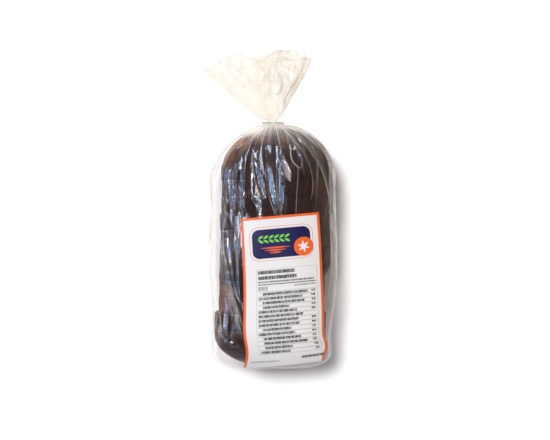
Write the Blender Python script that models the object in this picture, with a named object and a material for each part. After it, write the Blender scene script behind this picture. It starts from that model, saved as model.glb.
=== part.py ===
"""A sliced dark loaf in a clear film bag, lying on its flat base.

The pack lies along Y with its gathered neck towards +Y, X across and Z up, and it
stands on Z = 0. Lengths are in metres. It has three pieces: the filled bag, the flat
clip on its neck, and the printed label that lies over its crown and bottom end.
"""

import math

import bmesh
import bpy
from mathutils import Vector

# The filled bag, measured along the pack from the clip on its neck
BODY_LENGTH = 0.2455
HALF_WIDTH = 0.062
CROWN_HEIGHT = 0.094
WAIST_HEIGHT = 0.044
BASE_DIP = 0.001
CROWN_POWER = 2.9
BASE_POWER = 5.0
SIDE_SWAY = 0.0012
SIDE_SWAY_LENGTH = 0.11

# How far each end takes to reach its full size, and how square its rounding is
NECK_TAPER_PLAN = 0.060
NECK_POWER_RIGHT = 2.0
NECK_POWER_LEFT = 1.65
NECK_TAPER_CROWN = 0.058
NECK_TAPER_BASE = 0.034
NECK_POWER_HEIGHT = 2.1
TAIL_TAPER_PLAN = 0.030
TAIL_POWER_PLAN = 4.0
TAIL_TAPER_CROWN = 0.045
TAIL_TAPER_BASE = 0.018
TAIL_POWER_HEIGHT = 2.4
TAIL_FLAT = 0.0001

# The loaf's cuts, which show through the film as grooves
SLICE_COUNT = 14
FIRST_CUT = 0.0255
SLICE_PITCH = 0.0164
GROOVE_DEPTH = 0.0014
GROOVE_HALF_WIDTH = 0.0017
SLICE_STAGGER = 0.0009

# The neck and the fan of loose film beyond the clip
NECK_RADIUS = 0.0034
NECK_HALF_LENGTH = 0.0012
SHOULDER_PLEATS = 14
SHOULDER_PLEAT_DEPTH = 0.0016
SHOULDER_PLEAT_REACH = 0.045
PLEAT_START = 0.003
ROUND_NECK_REACH = 0.010
FAN_LEFT_ANGLE = math.radians(52.5)
FAN_RIGHT_ANGLE = math.radians(29.0)
FAN_REACH = 0.0715
FAN_LEFT_EXTRA = 0.0130
FAN_HALF_DEPTH = 0.0135
FAN_DROOP = 0.016
FAN_OPENING_RATE = 1.35
FAN_OPENING_POWER = 0.75
FAN_EDGE_POWER = 0.8
FAN_SCALLOP = 0.0016
FAN_LOWER_SETBACK = 0.003
FAN_RUFFLES = 3.2
FAN_RUFFLE_HEIGHT = 0.0055
FAN_CRIMPS = 9.0
FAN_CRIMP_HEIGHT = 0.0016
MOUTH_DEPTH = 0.007
MOUTH_NARROWING = 0.45

# The flat clip
CLIP_WIDTH = 0.0225
CLIP_HEIGHT = 0.024
CLIP_THICKNESS = 0.001
CLIP_CORNER = 0.0022
CLIP_HOLE = 0.0039
CLIP_SLIT = 0.0022
CLIP_ENTRY = 0.0075

# The label, by its corners in plan: across from the neck's axis, and back from the clip
LABEL_TOP_LEFT = (-0.0310, 0.0965)
LABEL_TOP_RIGHT = (0.0457, 0.0898)
LABEL_BOTTOM_LEFT = (-0.0287, 0.2415)
LABEL_BOTTOM_RIGHT = (0.0495, 0.2350)
LABEL_THICKNESS = 0.0004
LABEL_GAP = 0.0006
LABEL_SIDE_WAVE = 0.0018

# The neck's axis in the part's frame, which centres the whole over the origin
FAN_TIP = 0.0761
NECK_X = 0.0022
NECK_Y = (BODY_LENGTH - FAN_TIP) / 2

# Facets
RING_POINTS = 56
TAIL_RINGS = 8
SHOULDER_RINGS = 9
END_CROWDING = 2.3
FAN_RINGS = 11
LABEL_COLUMNS = 14
LABEL_ROWS = 28
CORNER_STEPS = 4
HOLE_STEPS = 22
SHARP_ANGLE = math.radians(40)


def clear_scene():
    """Remove every object that is already in the scene."""
    for thing in list(bpy.data.objects):
        bpy.data.objects.remove(thing, do_unlink=True)


def make_material(name, colour, roughness):
    """Return a plain Principled material of one colour."""
    material = bpy.data.materials.new(name)
    material.use_nodes = True
    shader = material.node_tree.nodes["Principled BSDF"]
    shader.inputs["Base Color"].default_value = (*colour, 1.0)
    shader.inputs["Roughness"].default_value = roughness
    shader.inputs["Metallic"].default_value = 0.0
    return material


def add_object(name, shape, material):
    """Turn a bmesh into a named, smooth-shaded object and return it."""
    bmesh.ops.recalc_face_normals(shape, faces=shape.faces)
    mesh = bpy.data.meshes.new(name)
    shape.to_mesh(mesh)
    shape.free()
    mesh.shade_smooth()
    mesh.set_sharp_from_angle(angle=SHARP_ANGLE)
    mesh.materials.append(material)
    thing = bpy.data.objects.new(name, mesh)
    bpy.context.scene.collection.objects.link(thing)
    return thing


def rounding(distance, taper, power):
    """Share of the full size reached at a distance from an end, as a superellipse."""
    if distance >= taper:
        return 1.0
    missing = 1.0 - max(distance, 0.0) / taper
    return (1.0 - missing ** power) ** (1.0 / power)


def signed_power(value, power):
    """A power that keeps the sign of its base."""
    return math.copysign(abs(value) ** power, value)


def section_sizes(back):
    """Return the left and right half widths, crown and base heights at a distance back from the clip."""
    from_neck = back - NECK_HALF_LENGTH
    from_tail = BODY_LENGTH - back
    tail_plan = rounding(from_tail, TAIL_TAPER_PLAN, TAIL_POWER_PLAN)
    width = (HALF_WIDTH - NECK_RADIUS) * tail_plan
    sway = SIDE_SWAY * math.sin(math.tau * back / SIDE_SWAY_LENGTH)
    left = NECK_RADIUS * tail_plan + width * rounding(from_neck, NECK_TAPER_PLAN, NECK_POWER_LEFT)
    right = NECK_RADIUS * tail_plan + width * rounding(from_neck, NECK_TAPER_PLAN, NECK_POWER_RIGHT)
    full = rounding(from_neck, NECK_TAPER_PLAN, NECK_POWER_RIGHT) * tail_plan
    left += sway * full
    right += sway * full
    tail_crown = rounding(from_tail, TAIL_TAPER_CROWN, TAIL_POWER_HEIGHT)
    tail_base = rounding(from_tail, TAIL_TAPER_BASE, TAIL_POWER_HEIGHT)
    rise = CROWN_HEIGHT - WAIST_HEIGHT - NECK_RADIUS
    crown = NECK_RADIUS + rise * rounding(from_neck, NECK_TAPER_CROWN, NECK_POWER_HEIGHT)
    drop = WAIST_HEIGHT + BASE_DIP - NECK_RADIUS
    base = NECK_RADIUS + drop * rounding(from_neck, NECK_TAPER_BASE, NECK_POWER_HEIGHT)
    return left, right, crown * tail_crown, base * tail_base


def crown_surface(across, back):
    """Height of the bag's upper skin over a point of the plan, without the cuts' grooves."""
    left, right, crown, _ = section_sizes(back)
    side = right if across >= 0.0 else left
    share = min(abs(across) / side, 1.0)
    return WAIST_HEIGHT + crown * (1.0 - share ** CROWN_POWER) ** (1.0 / CROWN_POWER)


def slice_inset(back):
    """How far the skin lies inside its smooth form: grooves at the cuts, and uneven slices."""
    if back < FIRST_CUT - GROOVE_HALF_WIDTH:
        return 0.0
    place = (back - FIRST_CUT) / SLICE_PITCH
    nearest = min(max(round(place), 0), SLICE_COUNT - 2)
    offset = abs(place - nearest) * SLICE_PITCH
    groove = GROOVE_DEPTH * max(0.0, 1.0 - offset / GROOVE_HALF_WIDTH)
    piece = min(math.floor(place), SLICE_COUNT - 2)
    uneven = SLICE_STAGGER * (0.5 + 0.5 * math.sin(2.4 * piece + 1.0))
    return groove + uneven * rounding(BODY_LENGTH - back, TAIL_TAPER_BASE, 2.0)


def body_ring(back):
    """Points of the bag's section at a distance back from the clip, from +X over the crown."""
    left, right, crown, base = section_sizes(back)
    inset = slice_inset(back)
    from_neck = back - NECK_HALF_LENGTH
    near = max(0.0, 1.0 - from_neck / SHOULDER_PLEAT_REACH)
    pleat = SHOULDER_PLEAT_DEPTH * near * min(1.0, from_neck / PLEAT_START)
    squareness = rounding(from_neck, ROUND_NECK_REACH, 2.0)
    ring = []
    for index in range(RING_POINTS):
        turn = math.tau * index / RING_POINTS
        cosine, sine = math.cos(turn), math.sin(turn)
        power = 2.0 / (CROWN_POWER if sine >= 0.0 else BASE_POWER)
        power = 1.0 + (power - 1.0) * squareness
        side = right if cosine >= 0.0 else left
        reach = 1.0 + pleat * math.cos(SHOULDER_PLEATS * turn) / max(side, NECK_RADIUS)
        across = (side * reach - inset) * signed_power(cosine, power)
        tall = crown * reach - inset if sine >= 0.0 else base * reach
        height = WAIST_HEIGHT + tall * signed_power(sine, power)
        ring.append(Vector((NECK_X + across, NECK_Y - back, max(height, 0.0))))
    return ring


def fan_ring(share, narrowing=1.0, sunk=0.0):
    """Points of the loose film's section, at a share of the way from the clip to the mouth."""
    middle = (FAN_RIGHT_ANGLE - FAN_LEFT_ANGLE) / 2
    spread = (FAN_RIGHT_ANGLE + FAN_LEFT_ANGLE) / 2
    ring = []
    for index in range(RING_POINTS):
        turn = math.tau * index / RING_POINTS
        cosine, sine = math.cos(turn), math.sin(turn)
        angle = middle + spread * cosine
        leftness = 0.5 - 0.5 * cosine
        scallop = FAN_SCALLOP * (math.sin(7.0 * angle + 0.6) + 0.75 * math.sin(17.0 * angle))
        lower_setback = FAN_LOWER_SETBACK if sine < 0.0 else 0.0
        reach = FAN_REACH + FAN_LEFT_EXTRA * leftness ** 2 + scallop - lower_setback
        radius = share * reach - sunk
        opening = min(1.0, share * FAN_OPENING_RATE) ** FAN_OPENING_POWER
        depth = NECK_RADIUS + (FAN_HALF_DEPTH - NECK_RADIUS) * opening
        ruffle = FAN_RUFFLE_HEIGHT * math.sin(math.pi * FAN_RUFFLES * leftness + 0.5)
        crimp = FAN_CRIMP_HEIGHT * math.cos(math.pi * FAN_CRIMPS * leftness) * (1.0 - 0.6 * leftness)
        height = depth * narrowing * signed_power(sine, FAN_EDGE_POWER) + share * (ruffle + crimp)
        height += WAIST_HEIGHT - FAN_DROOP * share ** 2
        across = NECK_RADIUS * cosine * (1.0 - share) + radius * math.sin(angle)
        along = NECK_HALF_LENGTH + radius * math.cos(angle)
        ring.append(Vector((NECK_X + across, NECK_Y + along, height)))
    return ring


def body_stations():
    """Distances back from the clip at which the bag has a ring, tail end first."""
    last_cut = FIRST_CUT + SLICE_PITCH * (SLICE_COUNT - 2)
    tail_span = BODY_LENGTH - last_cut - 2 * GROOVE_HALF_WIDTH
    neck_span = FIRST_CUT - 2 * GROOVE_HALF_WIDTH - NECK_HALF_LENGTH
    stations = []
    for step in range(TAIL_RINGS):
        stations.append(BODY_LENGTH - TAIL_FLAT - tail_span * (step / (TAIL_RINGS - 1)) ** END_CROWDING)
    for cut in reversed(range(SLICE_COUNT - 1)):
        back = FIRST_CUT + SLICE_PITCH * cut
        stations.extend((back + GROOVE_HALF_WIDTH, back, back - GROOVE_HALF_WIDTH))
    for step in reversed(range(SHOULDER_RINGS)):
        stations.append(NECK_HALF_LENGTH + neck_span * (step / (SHOULDER_RINGS - 1)) ** END_CROWDING)
    return stations


def close_ring(shape, ring):
    """Close a ring with faces that join its upper half to its lower half."""
    count = len(ring)
    for index in range(count // 2):
        opposite = (count - index) % count
        corners = (ring[index], ring[index + 1], ring[count - index - 1], ring[opposite])
        shape.faces.new(list(dict.fromkeys(corners)))


def make_bag(material):
    """Build the filled bag, from its closed bottom end to the fan's sunken mouth."""
    shape = bmesh.new()
    rings = [body_ring(back) for back in body_stations()]
    rings.extend(fan_ring((step / FAN_RINGS) ** 1.25) for step in range(FAN_RINGS + 1))
    rings.append(fan_ring(1.0, MOUTH_NARROWING, 0.0005))
    rings.append(fan_ring(1.0, MOUTH_NARROWING / 2, MOUTH_DEPTH))
    loops = [[shape.verts.new(point) for point in ring] for ring in rings]
    for first, second in zip(loops, loops[1:]):
        for index in range(RING_POINTS):
            after = (index + 1) % RING_POINTS
            shape.faces.new((first[index], first[after], second[after], second[index]))
    close_ring(shape, loops[0])
    close_ring(shape, loops[-1])
    return add_object("bag", shape, material)


def clip_outline():
    """Outline of the clip in X and Z about the neck, with a slit from its lower edge to its hole."""
    half_width = CLIP_WIDTH / 2
    half_height = CLIP_HEIGHT / 2
    outline = []
    corners = ((1, -1, -90), (1, 1, 0), (-1, 1, 90), (-1, -1, 180))
    for side, level, start in corners:
        centre_x = side * (half_width - CLIP_CORNER)
        centre_z = level * (half_height - CLIP_CORNER)
        for step in range(CORNER_STEPS + 1):
            turn = math.radians(start + 90 * step / CORNER_STEPS)
            outline.append((centre_x + CLIP_CORNER * math.cos(turn), centre_z + CLIP_CORNER * math.sin(turn)))
    half_entry = CLIP_ENTRY / 2
    half_slit = CLIP_SLIT / 2
    slit_turn = math.asin(half_slit / CLIP_HOLE)
    outline.append((-half_entry, -half_height))
    outline.append((-half_slit, -half_height + half_entry))
    for step in range(HOLE_STEPS + 1):
        turn = -math.pi / 2 - slit_turn - (math.tau - 2 * slit_turn) * step / HOLE_STEPS
        outline.append((CLIP_HOLE * math.cos(turn), CLIP_HOLE * math.sin(turn)))
    outline.append((half_slit, -half_height + half_entry))
    outline.append((half_entry, -half_height))
    return outline


def make_clip(material):
    """Build the flat clip as a plate across the pack's axis, round the neck."""
    shape = bmesh.new()
    corners = []
    for across, level in clip_outline():
        place = (NECK_X + across, NECK_Y - CLIP_THICKNESS / 2, WAIST_HEIGHT + level)
        corners.append(shape.verts.new(place))
    plate = shape.faces.new(corners)
    extruded = bmesh.ops.extrude_face_region(shape, geom=[plate])
    moved = [item for item in extruded["geom"] if isinstance(item, bmesh.types.BMVert)]
    bmesh.ops.translate(shape, vec=(0.0, CLIP_THICKNESS, 0.0), verts=moved)
    bmesh.ops.triangulate(shape, faces=[face for face in shape.faces if len(face.verts) > 4])
    return add_object("clip", shape, material)


def label_point(column, row, lift):
    """A point of the label, by its shares across and down, at a lift over the bag's skin."""
    top = [(1 - column) * a + column * b for a, b in zip(LABEL_TOP_LEFT, LABEL_TOP_RIGHT)]
    bottom = [(1 - column) * a + column * b for a, b in zip(LABEL_BOTTOM_LEFT, LABEL_BOTTOM_RIGHT)]
    across = (1 - row) * top[0] + row * bottom[0] + LABEL_SIDE_WAVE * math.sin(math.pi * row)
    back = (1 - row) * top[1] + row * bottom[1]
    step = 0.0005
    height = crown_surface(across, back)
    slope_x = (crown_surface(across + step, back) - crown_surface(across - step, back)) / (2 * step)
    slope_y = (crown_surface(across, back - step) - crown_surface(across, back + step)) / (2 * step)
    normal = Vector((-slope_x, -slope_y, 1.0)).normalized()
    return Vector((NECK_X + across, NECK_Y - back, height)) + normal * lift


def make_label(material):
    """Build the label as a thin sheet that follows the crown and the rounded bottom end."""
    shape = bmesh.new()
    sheets = []
    for lift in (LABEL_GAP, LABEL_GAP + LABEL_THICKNESS):
        grid = []
        for row in range(LABEL_ROWS + 1):
            down = 1.0 - (1.0 - row / LABEL_ROWS) ** 1.35
            line = [label_point(column / LABEL_COLUMNS, down, lift) for column in range(LABEL_COLUMNS + 1)]
            grid.append([shape.verts.new(point) for point in line])
        sheets.append(grid)
    under, over = sheets
    for row in range(LABEL_ROWS):
        for column in range(LABEL_COLUMNS):
            for grid in sheets:
                shape.faces.new((grid[row][column], grid[row][column + 1],
                                 grid[row + 1][column + 1], grid[row + 1][column]))
    for column in range(LABEL_COLUMNS):
        for row in (0, LABEL_ROWS):
            shape.faces.new((under[row][column], under[row][column + 1],
                             over[row][column + 1], over[row][column]))
    for row in range(LABEL_ROWS):
        for column in (0, LABEL_COLUMNS):
            shape.faces.new((under[row][column], under[row + 1][column],
                             over[row + 1][column], over[row][column]))
    return add_object("label", shape, material)


def main():
    """Build the whole pack."""
    clear_scene()
    make_bag(make_material("film_over_dark_bread", (0.10, 0.055, 0.045), 0.35))
    make_clip(make_material("white_clip_plastic", (0.85, 0.85, 0.84), 0.4))
    make_label(make_material("label_paper", (0.88, 0.84, 0.82), 0.5))


main()
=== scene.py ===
"""Looks of a sliced dark tin loaf in a clear film bag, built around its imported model.

The pack lies along Y with its neck towards +Y. Every piece is placed from the neck:
"across" runs along X from the neck's axis, and "back" runs from the clip towards the
loaf's far end. Lengths are in metres.
"""

import logging
import math
from dataclasses import dataclass, field
from enum import Enum
from typing import Any, Callable, Optional, Union

import bpy
import numpy as np
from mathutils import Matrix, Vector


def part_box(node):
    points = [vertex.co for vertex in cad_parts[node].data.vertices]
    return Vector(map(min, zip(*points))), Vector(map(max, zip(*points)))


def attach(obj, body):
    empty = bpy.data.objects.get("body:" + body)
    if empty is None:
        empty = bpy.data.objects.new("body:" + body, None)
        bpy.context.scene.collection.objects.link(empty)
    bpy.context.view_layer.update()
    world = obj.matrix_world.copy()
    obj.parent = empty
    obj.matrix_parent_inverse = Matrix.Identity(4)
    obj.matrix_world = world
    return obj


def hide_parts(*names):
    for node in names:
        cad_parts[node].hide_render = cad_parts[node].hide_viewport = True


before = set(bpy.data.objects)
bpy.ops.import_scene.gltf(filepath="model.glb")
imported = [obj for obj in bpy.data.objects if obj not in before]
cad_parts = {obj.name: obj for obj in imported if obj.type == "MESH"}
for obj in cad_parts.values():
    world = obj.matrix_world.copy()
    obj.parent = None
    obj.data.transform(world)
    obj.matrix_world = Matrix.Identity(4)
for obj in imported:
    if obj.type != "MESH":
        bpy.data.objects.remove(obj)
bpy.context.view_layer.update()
BODY = "root"
LATTICE_CELLS = 64

Array = np.ndarray
Colour = tuple[float, float, float]
Place = tuple[float, float]

log = logging.getLogger("bagged_loaf")


class Slot(Enum):
    """The record's material slots."""

    CRUST = "crust"
    FILM = "film"
    LABEL = "label_paper"
    CLIP = "clip_plastic"


class LineKind(Enum):
    """Kinds of fold lines in the film, each with a field of its own, so that they may cross."""

    FOLD = "fold"
    CREASE = "crease"
    LEAF = "leaf"


class Node(Enum):
    """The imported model's nodes."""

    BAG = "bag"
    CLIP = "clip"
    LABEL = "label"


def rounding(distance: Array, taper: float, power: float) -> Array:
    """Share of the full size at a distance from an end: (1 - (1 - d / taper)^p)^(1 / p).

    Args:
        distance: Distances from the end.
        taper: Distance at which the full size is reached.
        power: How square the rounding is; 2 is a quarter ellipse.

    Returns:
        Shares from 0 to 1.
    """
    missing = 1.0 - np.clip(np.asarray(distance, float) / taper, 0.0, 1.0)
    return (1.0 - missing ** power) ** (1.0 / power)


def signed_power(value: Array, power: Array) -> Array:
    """A power that keeps the sign of its base."""
    return np.sign(value) * np.abs(value) ** power


def smooth(value: Array) -> Array:
    """The S-curve 3 t^2 - 2 t^3 of a value held between 0 and 1."""
    held = np.clip(value, 0.0, 1.0)
    return held * held * (3.0 - 2.0 * held)


def lattice_noise(x: Array, y: Array, seed: int, size: int = LATTICE_CELLS) -> Array:
    """Seeded value noise: random lattice values joined by S-curves, repeating after size cells.

    Args:
        x: First coordinate, in cells.
        y: Second coordinate, in cells.
        seed: Seed of the lattice's values.
        size: Cells along each side of the lattice.

    Returns:
        Values from -1 to 1.
    """
    values = np.random.default_rng(seed).uniform(-1.0, 1.0, (size, size))
    column, row = np.floor(x).astype(int), np.floor(y).astype(int)
    blend_x, blend_y = smooth(x - column), smooth(y - row)
    left, right = column % size, (column + 1) % size
    low, high = row % size, (row + 1) % size
    lower = values[left, low] * (1 - blend_x) + values[right, low] * blend_x
    upper = values[left, high] * (1 - blend_x) + values[right, high] * blend_x
    return lower * (1 - blend_y) + upper * blend_y


def creased_noise(x: Array, y: Array, seed: int) -> Array:
    """Noise with sharp creases: one less twice the size of value noise, from -1 to 1."""
    return 1.0 - 2.0 * np.abs(lattice_noise(x, y, seed))


def spot_distance(across: Array, back: Array, place: Place, size: Place) -> Array:
    """Squared distance from a place, counted in half sizes across and back."""
    return ((across - place[0]) / size[0]) ** 2 + ((back - place[1]) / size[1]) ** 2


def spaced_turns(profile: Callable[[Array], Array], count: int, base_share: float = 1.0) -> Array:
    """Turns that space points evenly along a closed section, from the middle of its base.

    The section is walked in fine steps, its length is summed, with the base's length
    counted at a share, and the turns at equal shares of that length are read back.

    Args:
        profile: Gives the section's points, as an array of pairs, for an array of turns.
        count: How many turns are wanted.
        base_share: How closely the base's points lie beside those of the crown.

    Returns:
        The turns, over a full turn whose end is left out.
    """
    fine = np.linspace(-math.pi / 2, 1.5 * math.pi, 6001)
    steps = np.linalg.norm(np.diff(profile(fine), axis=0), axis=1)
    steps = steps * np.where(np.sin(fine[1:]) < -0.05, base_share, 1.0)
    walked = np.concatenate(([0.0], np.cumsum(steps)))
    return np.interp(np.arange(count) / count * walked[-1], walked, fine)


@dataclass
class Sheet:
    """A grid of points that closes on itself round its columns, ready to become an object."""

    name: str
    points: Array
    close_first: bool = False
    close_last: bool = False
    attributes: dict[str, Array] = field(default_factory=dict)
    skin: Optional[Array] = None
    uv: Optional[Array] = None

    def faces(self) -> list[list[int]]:
        """Quads between neighbouring rows, and a fan of triangles at each closed end.

        Returns:
            Each face's point numbers, with the poles' numbers after the grid's.
        """
        rows, columns = self.points.shape[:2]
        row, column = np.meshgrid(np.arange(rows - 1), np.arange(columns), indexing="ij")
        after = (column + 1) % columns
        quads = np.stack((row * columns + column, row * columns + after,
                          (row + 1) * columns + after, (row + 1) * columns + column), axis=-1)
        found = quads.reshape(-1, 4).tolist()
        ring = np.arange(columns)
        turned = (ring + 1) % columns
        pole = rows * columns
        if self.close_first:
            found += np.stack((turned, ring, np.full(columns, pole)), axis=-1).tolist()
            pole += 1
        if self.close_last:
            start = (rows - 1) * columns
            found += np.stack((start + ring, start + turned, np.full(columns, pole)), axis=-1).tolist()
        return found

    def with_poles(self, values: Array) -> Array:
        """Values of the grid's points, flattened, with the mean of each closed end added.

        Args:
            values: One value or vector for each point of the grid.

        Returns:
            The values in the order of the mesh's points.
        """
        flat = values.reshape(-1, *values.shape[2:])
        ends = []
        if self.close_first:
            ends.append(values[0].mean(axis=0, keepdims=True))
        if self.close_last:
            ends.append(values[-1].mean(axis=0, keepdims=True))
        return np.concatenate([flat, *ends])

    def build(self, material: bpy.types.Material) -> bpy.types.Object:
        """Put the grid into a mesh object with its attributes, UV map and material.

        Args:
            material: The piece's finish.

        Returns:
            The new object, at the origin, with its faces pointing outwards.
        """
        vertices = self.with_poles(self.points)
        faces = self.faces()
        quads = np.array([face for face in faces if len(face) == 4])
        first, third = vertices[quads[:, 0]], vertices[quads[:, 2]]
        second, fourth = vertices[quads[:, 1]], vertices[quads[:, 3]]
        middle = (first + second + third + fourth) / 4 - vertices.mean(axis=0)
        outward = np.einsum("ij,ij->", np.cross(third - first, fourth - second), middle)
        if outward < 0.0:
            faces = [face[::-1] for face in faces]
        mesh = bpy.data.meshes.new(self.name)
        mesh.from_pydata(vertices.tolist(), [], faces)
        for name, values in self.attributes.items():
            layer = mesh.attributes.new(name, "FLOAT", "POINT")
            layer.data.foreach_set("value", self.with_poles(values).astype(np.float32))
        if self.skin is not None:
            layer = mesh.attributes.new("skin", "FLOAT_VECTOR", "POINT")
            layer.data.foreach_set("vector", self.with_poles(self.skin).astype(np.float32).ravel())
        if self.uv is not None:
            corners = np.empty(len(mesh.loops), np.int32)
            mesh.loops.foreach_get("vertex_index", corners)
            layer = mesh.uv_layers.new(name="UVMap")
            layer.data.foreach_set("uv", self.with_poles(self.uv)[corners].astype(np.float32).ravel())
        mesh.materials.append(material)
        mesh.shade_smooth()
        mesh.update()
        piece = bpy.data.objects.new(self.name, mesh)
        bpy.context.scene.collection.objects.link(piece)
        return piece


def settle(piece: bpy.types.Object, slot: Slot, *nodes: Node) -> bpy.types.Object:
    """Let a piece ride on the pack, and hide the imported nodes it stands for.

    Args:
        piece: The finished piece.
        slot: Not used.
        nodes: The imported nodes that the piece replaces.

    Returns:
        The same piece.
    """
    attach(piece, BODY)
    if nodes:
        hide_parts(*(node.value for node in nodes))
    log.info("%s: %d faces", piece.name, len(piece.data.polygons))
    return piece


Value = Union[float, "Sock"]


def arithmetic(operation: str, swapped: bool = False) -> Callable[["Sock", Value], "Sock"]:
    """Make a method that adds one Math node for an operator.

    Args:
        operation: The node's operation; LESS_THAN and GREATER_THAN give 1 or 0.
        swapped: Whether the other value comes first.

    Returns:
        The method.
    """
    def method(self: "Sock", other: Value) -> "Sock":
        """Join two values."""
        values = (other, self) if swapped else (self, other)
        return self.tree.math(operation, *values)
    return method


class Sock:
    """A value in a material, on which Python's arithmetic adds Math nodes."""

    def __init__(self, tree: "Tree", socket: bpy.types.NodeSocket) -> None:
        """Wrap a socket of a tree."""
        self.tree = tree
        self.socket = socket

    def math(self, operation: str, *others: Value) -> "Sock":
        """Add one Math node with this value first."""
        return self.tree.math(operation, self, *others)

    __add__ = __radd__ = arithmetic("ADD")
    __sub__ = arithmetic("SUBTRACT")
    __rsub__ = arithmetic("SUBTRACT", swapped=True)
    __mul__ = __rmul__ = arithmetic("MULTIPLY")
    __truediv__ = arithmetic("DIVIDE")
    __pow__ = arithmetic("POWER")
    __lt__ = arithmetic("LESS_THAN")
    __gt__ = arithmetic("GREATER_THAN")

    def __abs__(self) -> "Sock":
        """The size of self"""
        return self.math("ABSOLUTE")

    def floor(self) -> "Sock":
        """The whole number below self"""
        return self.math("FLOOR")

    def ramp(self, low: float, high: float) -> "Sock":
        """An S-curve from 0 at low to 1 at high, which may run backwards.

        Args:
            low: Value that gives 0.
            high: Value that gives 1.

        Returns:
            Shares from 0 to 1.
        """
        settings = {"interpolation_type": "SMOOTHSTEP"}
        inputs = {"Value": self, "From Min": low, "From Max": high}
        return self.tree.out("ShaderNodeMapRange", settings, inputs, "Result")


class Tree:
    """A material's nodes."""

    def __init__(self, name: str) -> None:
        """Start a material with an empty tree.

        Args:
            name: The material's name.
        """
        self.material = bpy.data.materials.new(name)
        self.material.use_nodes = True
        self.nodes = self.material.node_tree.nodes
        self.links = self.material.node_tree.links
        self.nodes.clear()

    def node(self, kind: str, settings: Optional[dict[str, Any]] = None,
             inputs: Optional[dict[Union[str, int], Any]] = None) -> bpy.types.Node:
        """Add a node, set it up, and then fill or link its sockets.

        Args:
            kind: The node's type.
            settings: The node's own settings, which are set first.
            inputs: Values, colours, wrapped sockets or plain sockets, by socket name or number.

        Returns:
            The new node.
        """
        made = self.nodes.new(kind)
        for key, value in (settings or {}).items():
            setattr(made, key, value)
        for key, value in (inputs or {}).items():
            if isinstance(value, Sock):
                self.links.new(value.socket, made.inputs[key])
            elif isinstance(value, bpy.types.NodeSocket):
                self.links.new(value, made.inputs[key])
            else:
                made.inputs[key].default_value = value
        return made

    def out(self, kind: str, settings: Optional[dict[str, Any]] = None,
            inputs: Optional[dict[Union[str, int], Any]] = None, output: Union[str, int] = 0) -> Sock:
        """Add a node and wrap one of its outputs."""
        return Sock(self, self.node(kind, settings, inputs).outputs[output])

    def math(self, operation: str, *values: Value) -> Sock:
        """Add a Math node."""
        return self.out("ShaderNodeMath", {"operation": operation}, dict(enumerate(values)))

    def attribute(self, name: str) -> Sock:
        """A number stored on the mesh."""
        return self.out("ShaderNodeAttribute", {"attribute_name": name}, None, "Fac")

    def noise(self, place: Sock, scale: float, detail: float = 2.0, roughness: float = 0.5) -> Sock:
        """Noise from 0 to 1 at a place, with features about 1 / scale in size."""
        inputs = {"Vector": place, "Scale": scale, "Detail": detail, "Roughness": roughness}
        return self.out("ShaderNodeTexNoise", None, inputs, 0)

    def mix(self, share: Value, first: Any, second: Any) -> Sock:
        """A colour that runs from first to second with a share.

        Args:
            share: Share of the second colour.
            first: A colour or a wrapped socket.
            second: A colour or a wrapped socket.

        Returns:
            The mixed colour.
        """
        made = self.node("ShaderNodeMix", {"data_type": "RGBA"})
        for socket, value in ((made.inputs[0], share), (made.inputs[6], first), (made.inputs[7], second)):
            if isinstance(value, Sock):
                self.links.new(value.socket, socket)
            else:
                socket.default_value = (*value, 1.0) if isinstance(value, tuple) else value
        return Sock(self, made.outputs[2])

    def bump(self, height: Sock, distance: float, strength: float = 1.0) -> Sock:
        """A normal tilted by a height, which is in units of distance."""
        inputs = {"Height": height, "Distance": distance, "Strength": strength}
        return self.out("ShaderNodeBump", None, inputs, 0)

    def finish(self, shader: Sock) -> bpy.types.Material:
        """Send a shader to the material's output."""
        self.node("ShaderNodeOutputMaterial", None, {"Surface": shader})
        return self.material


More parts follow.
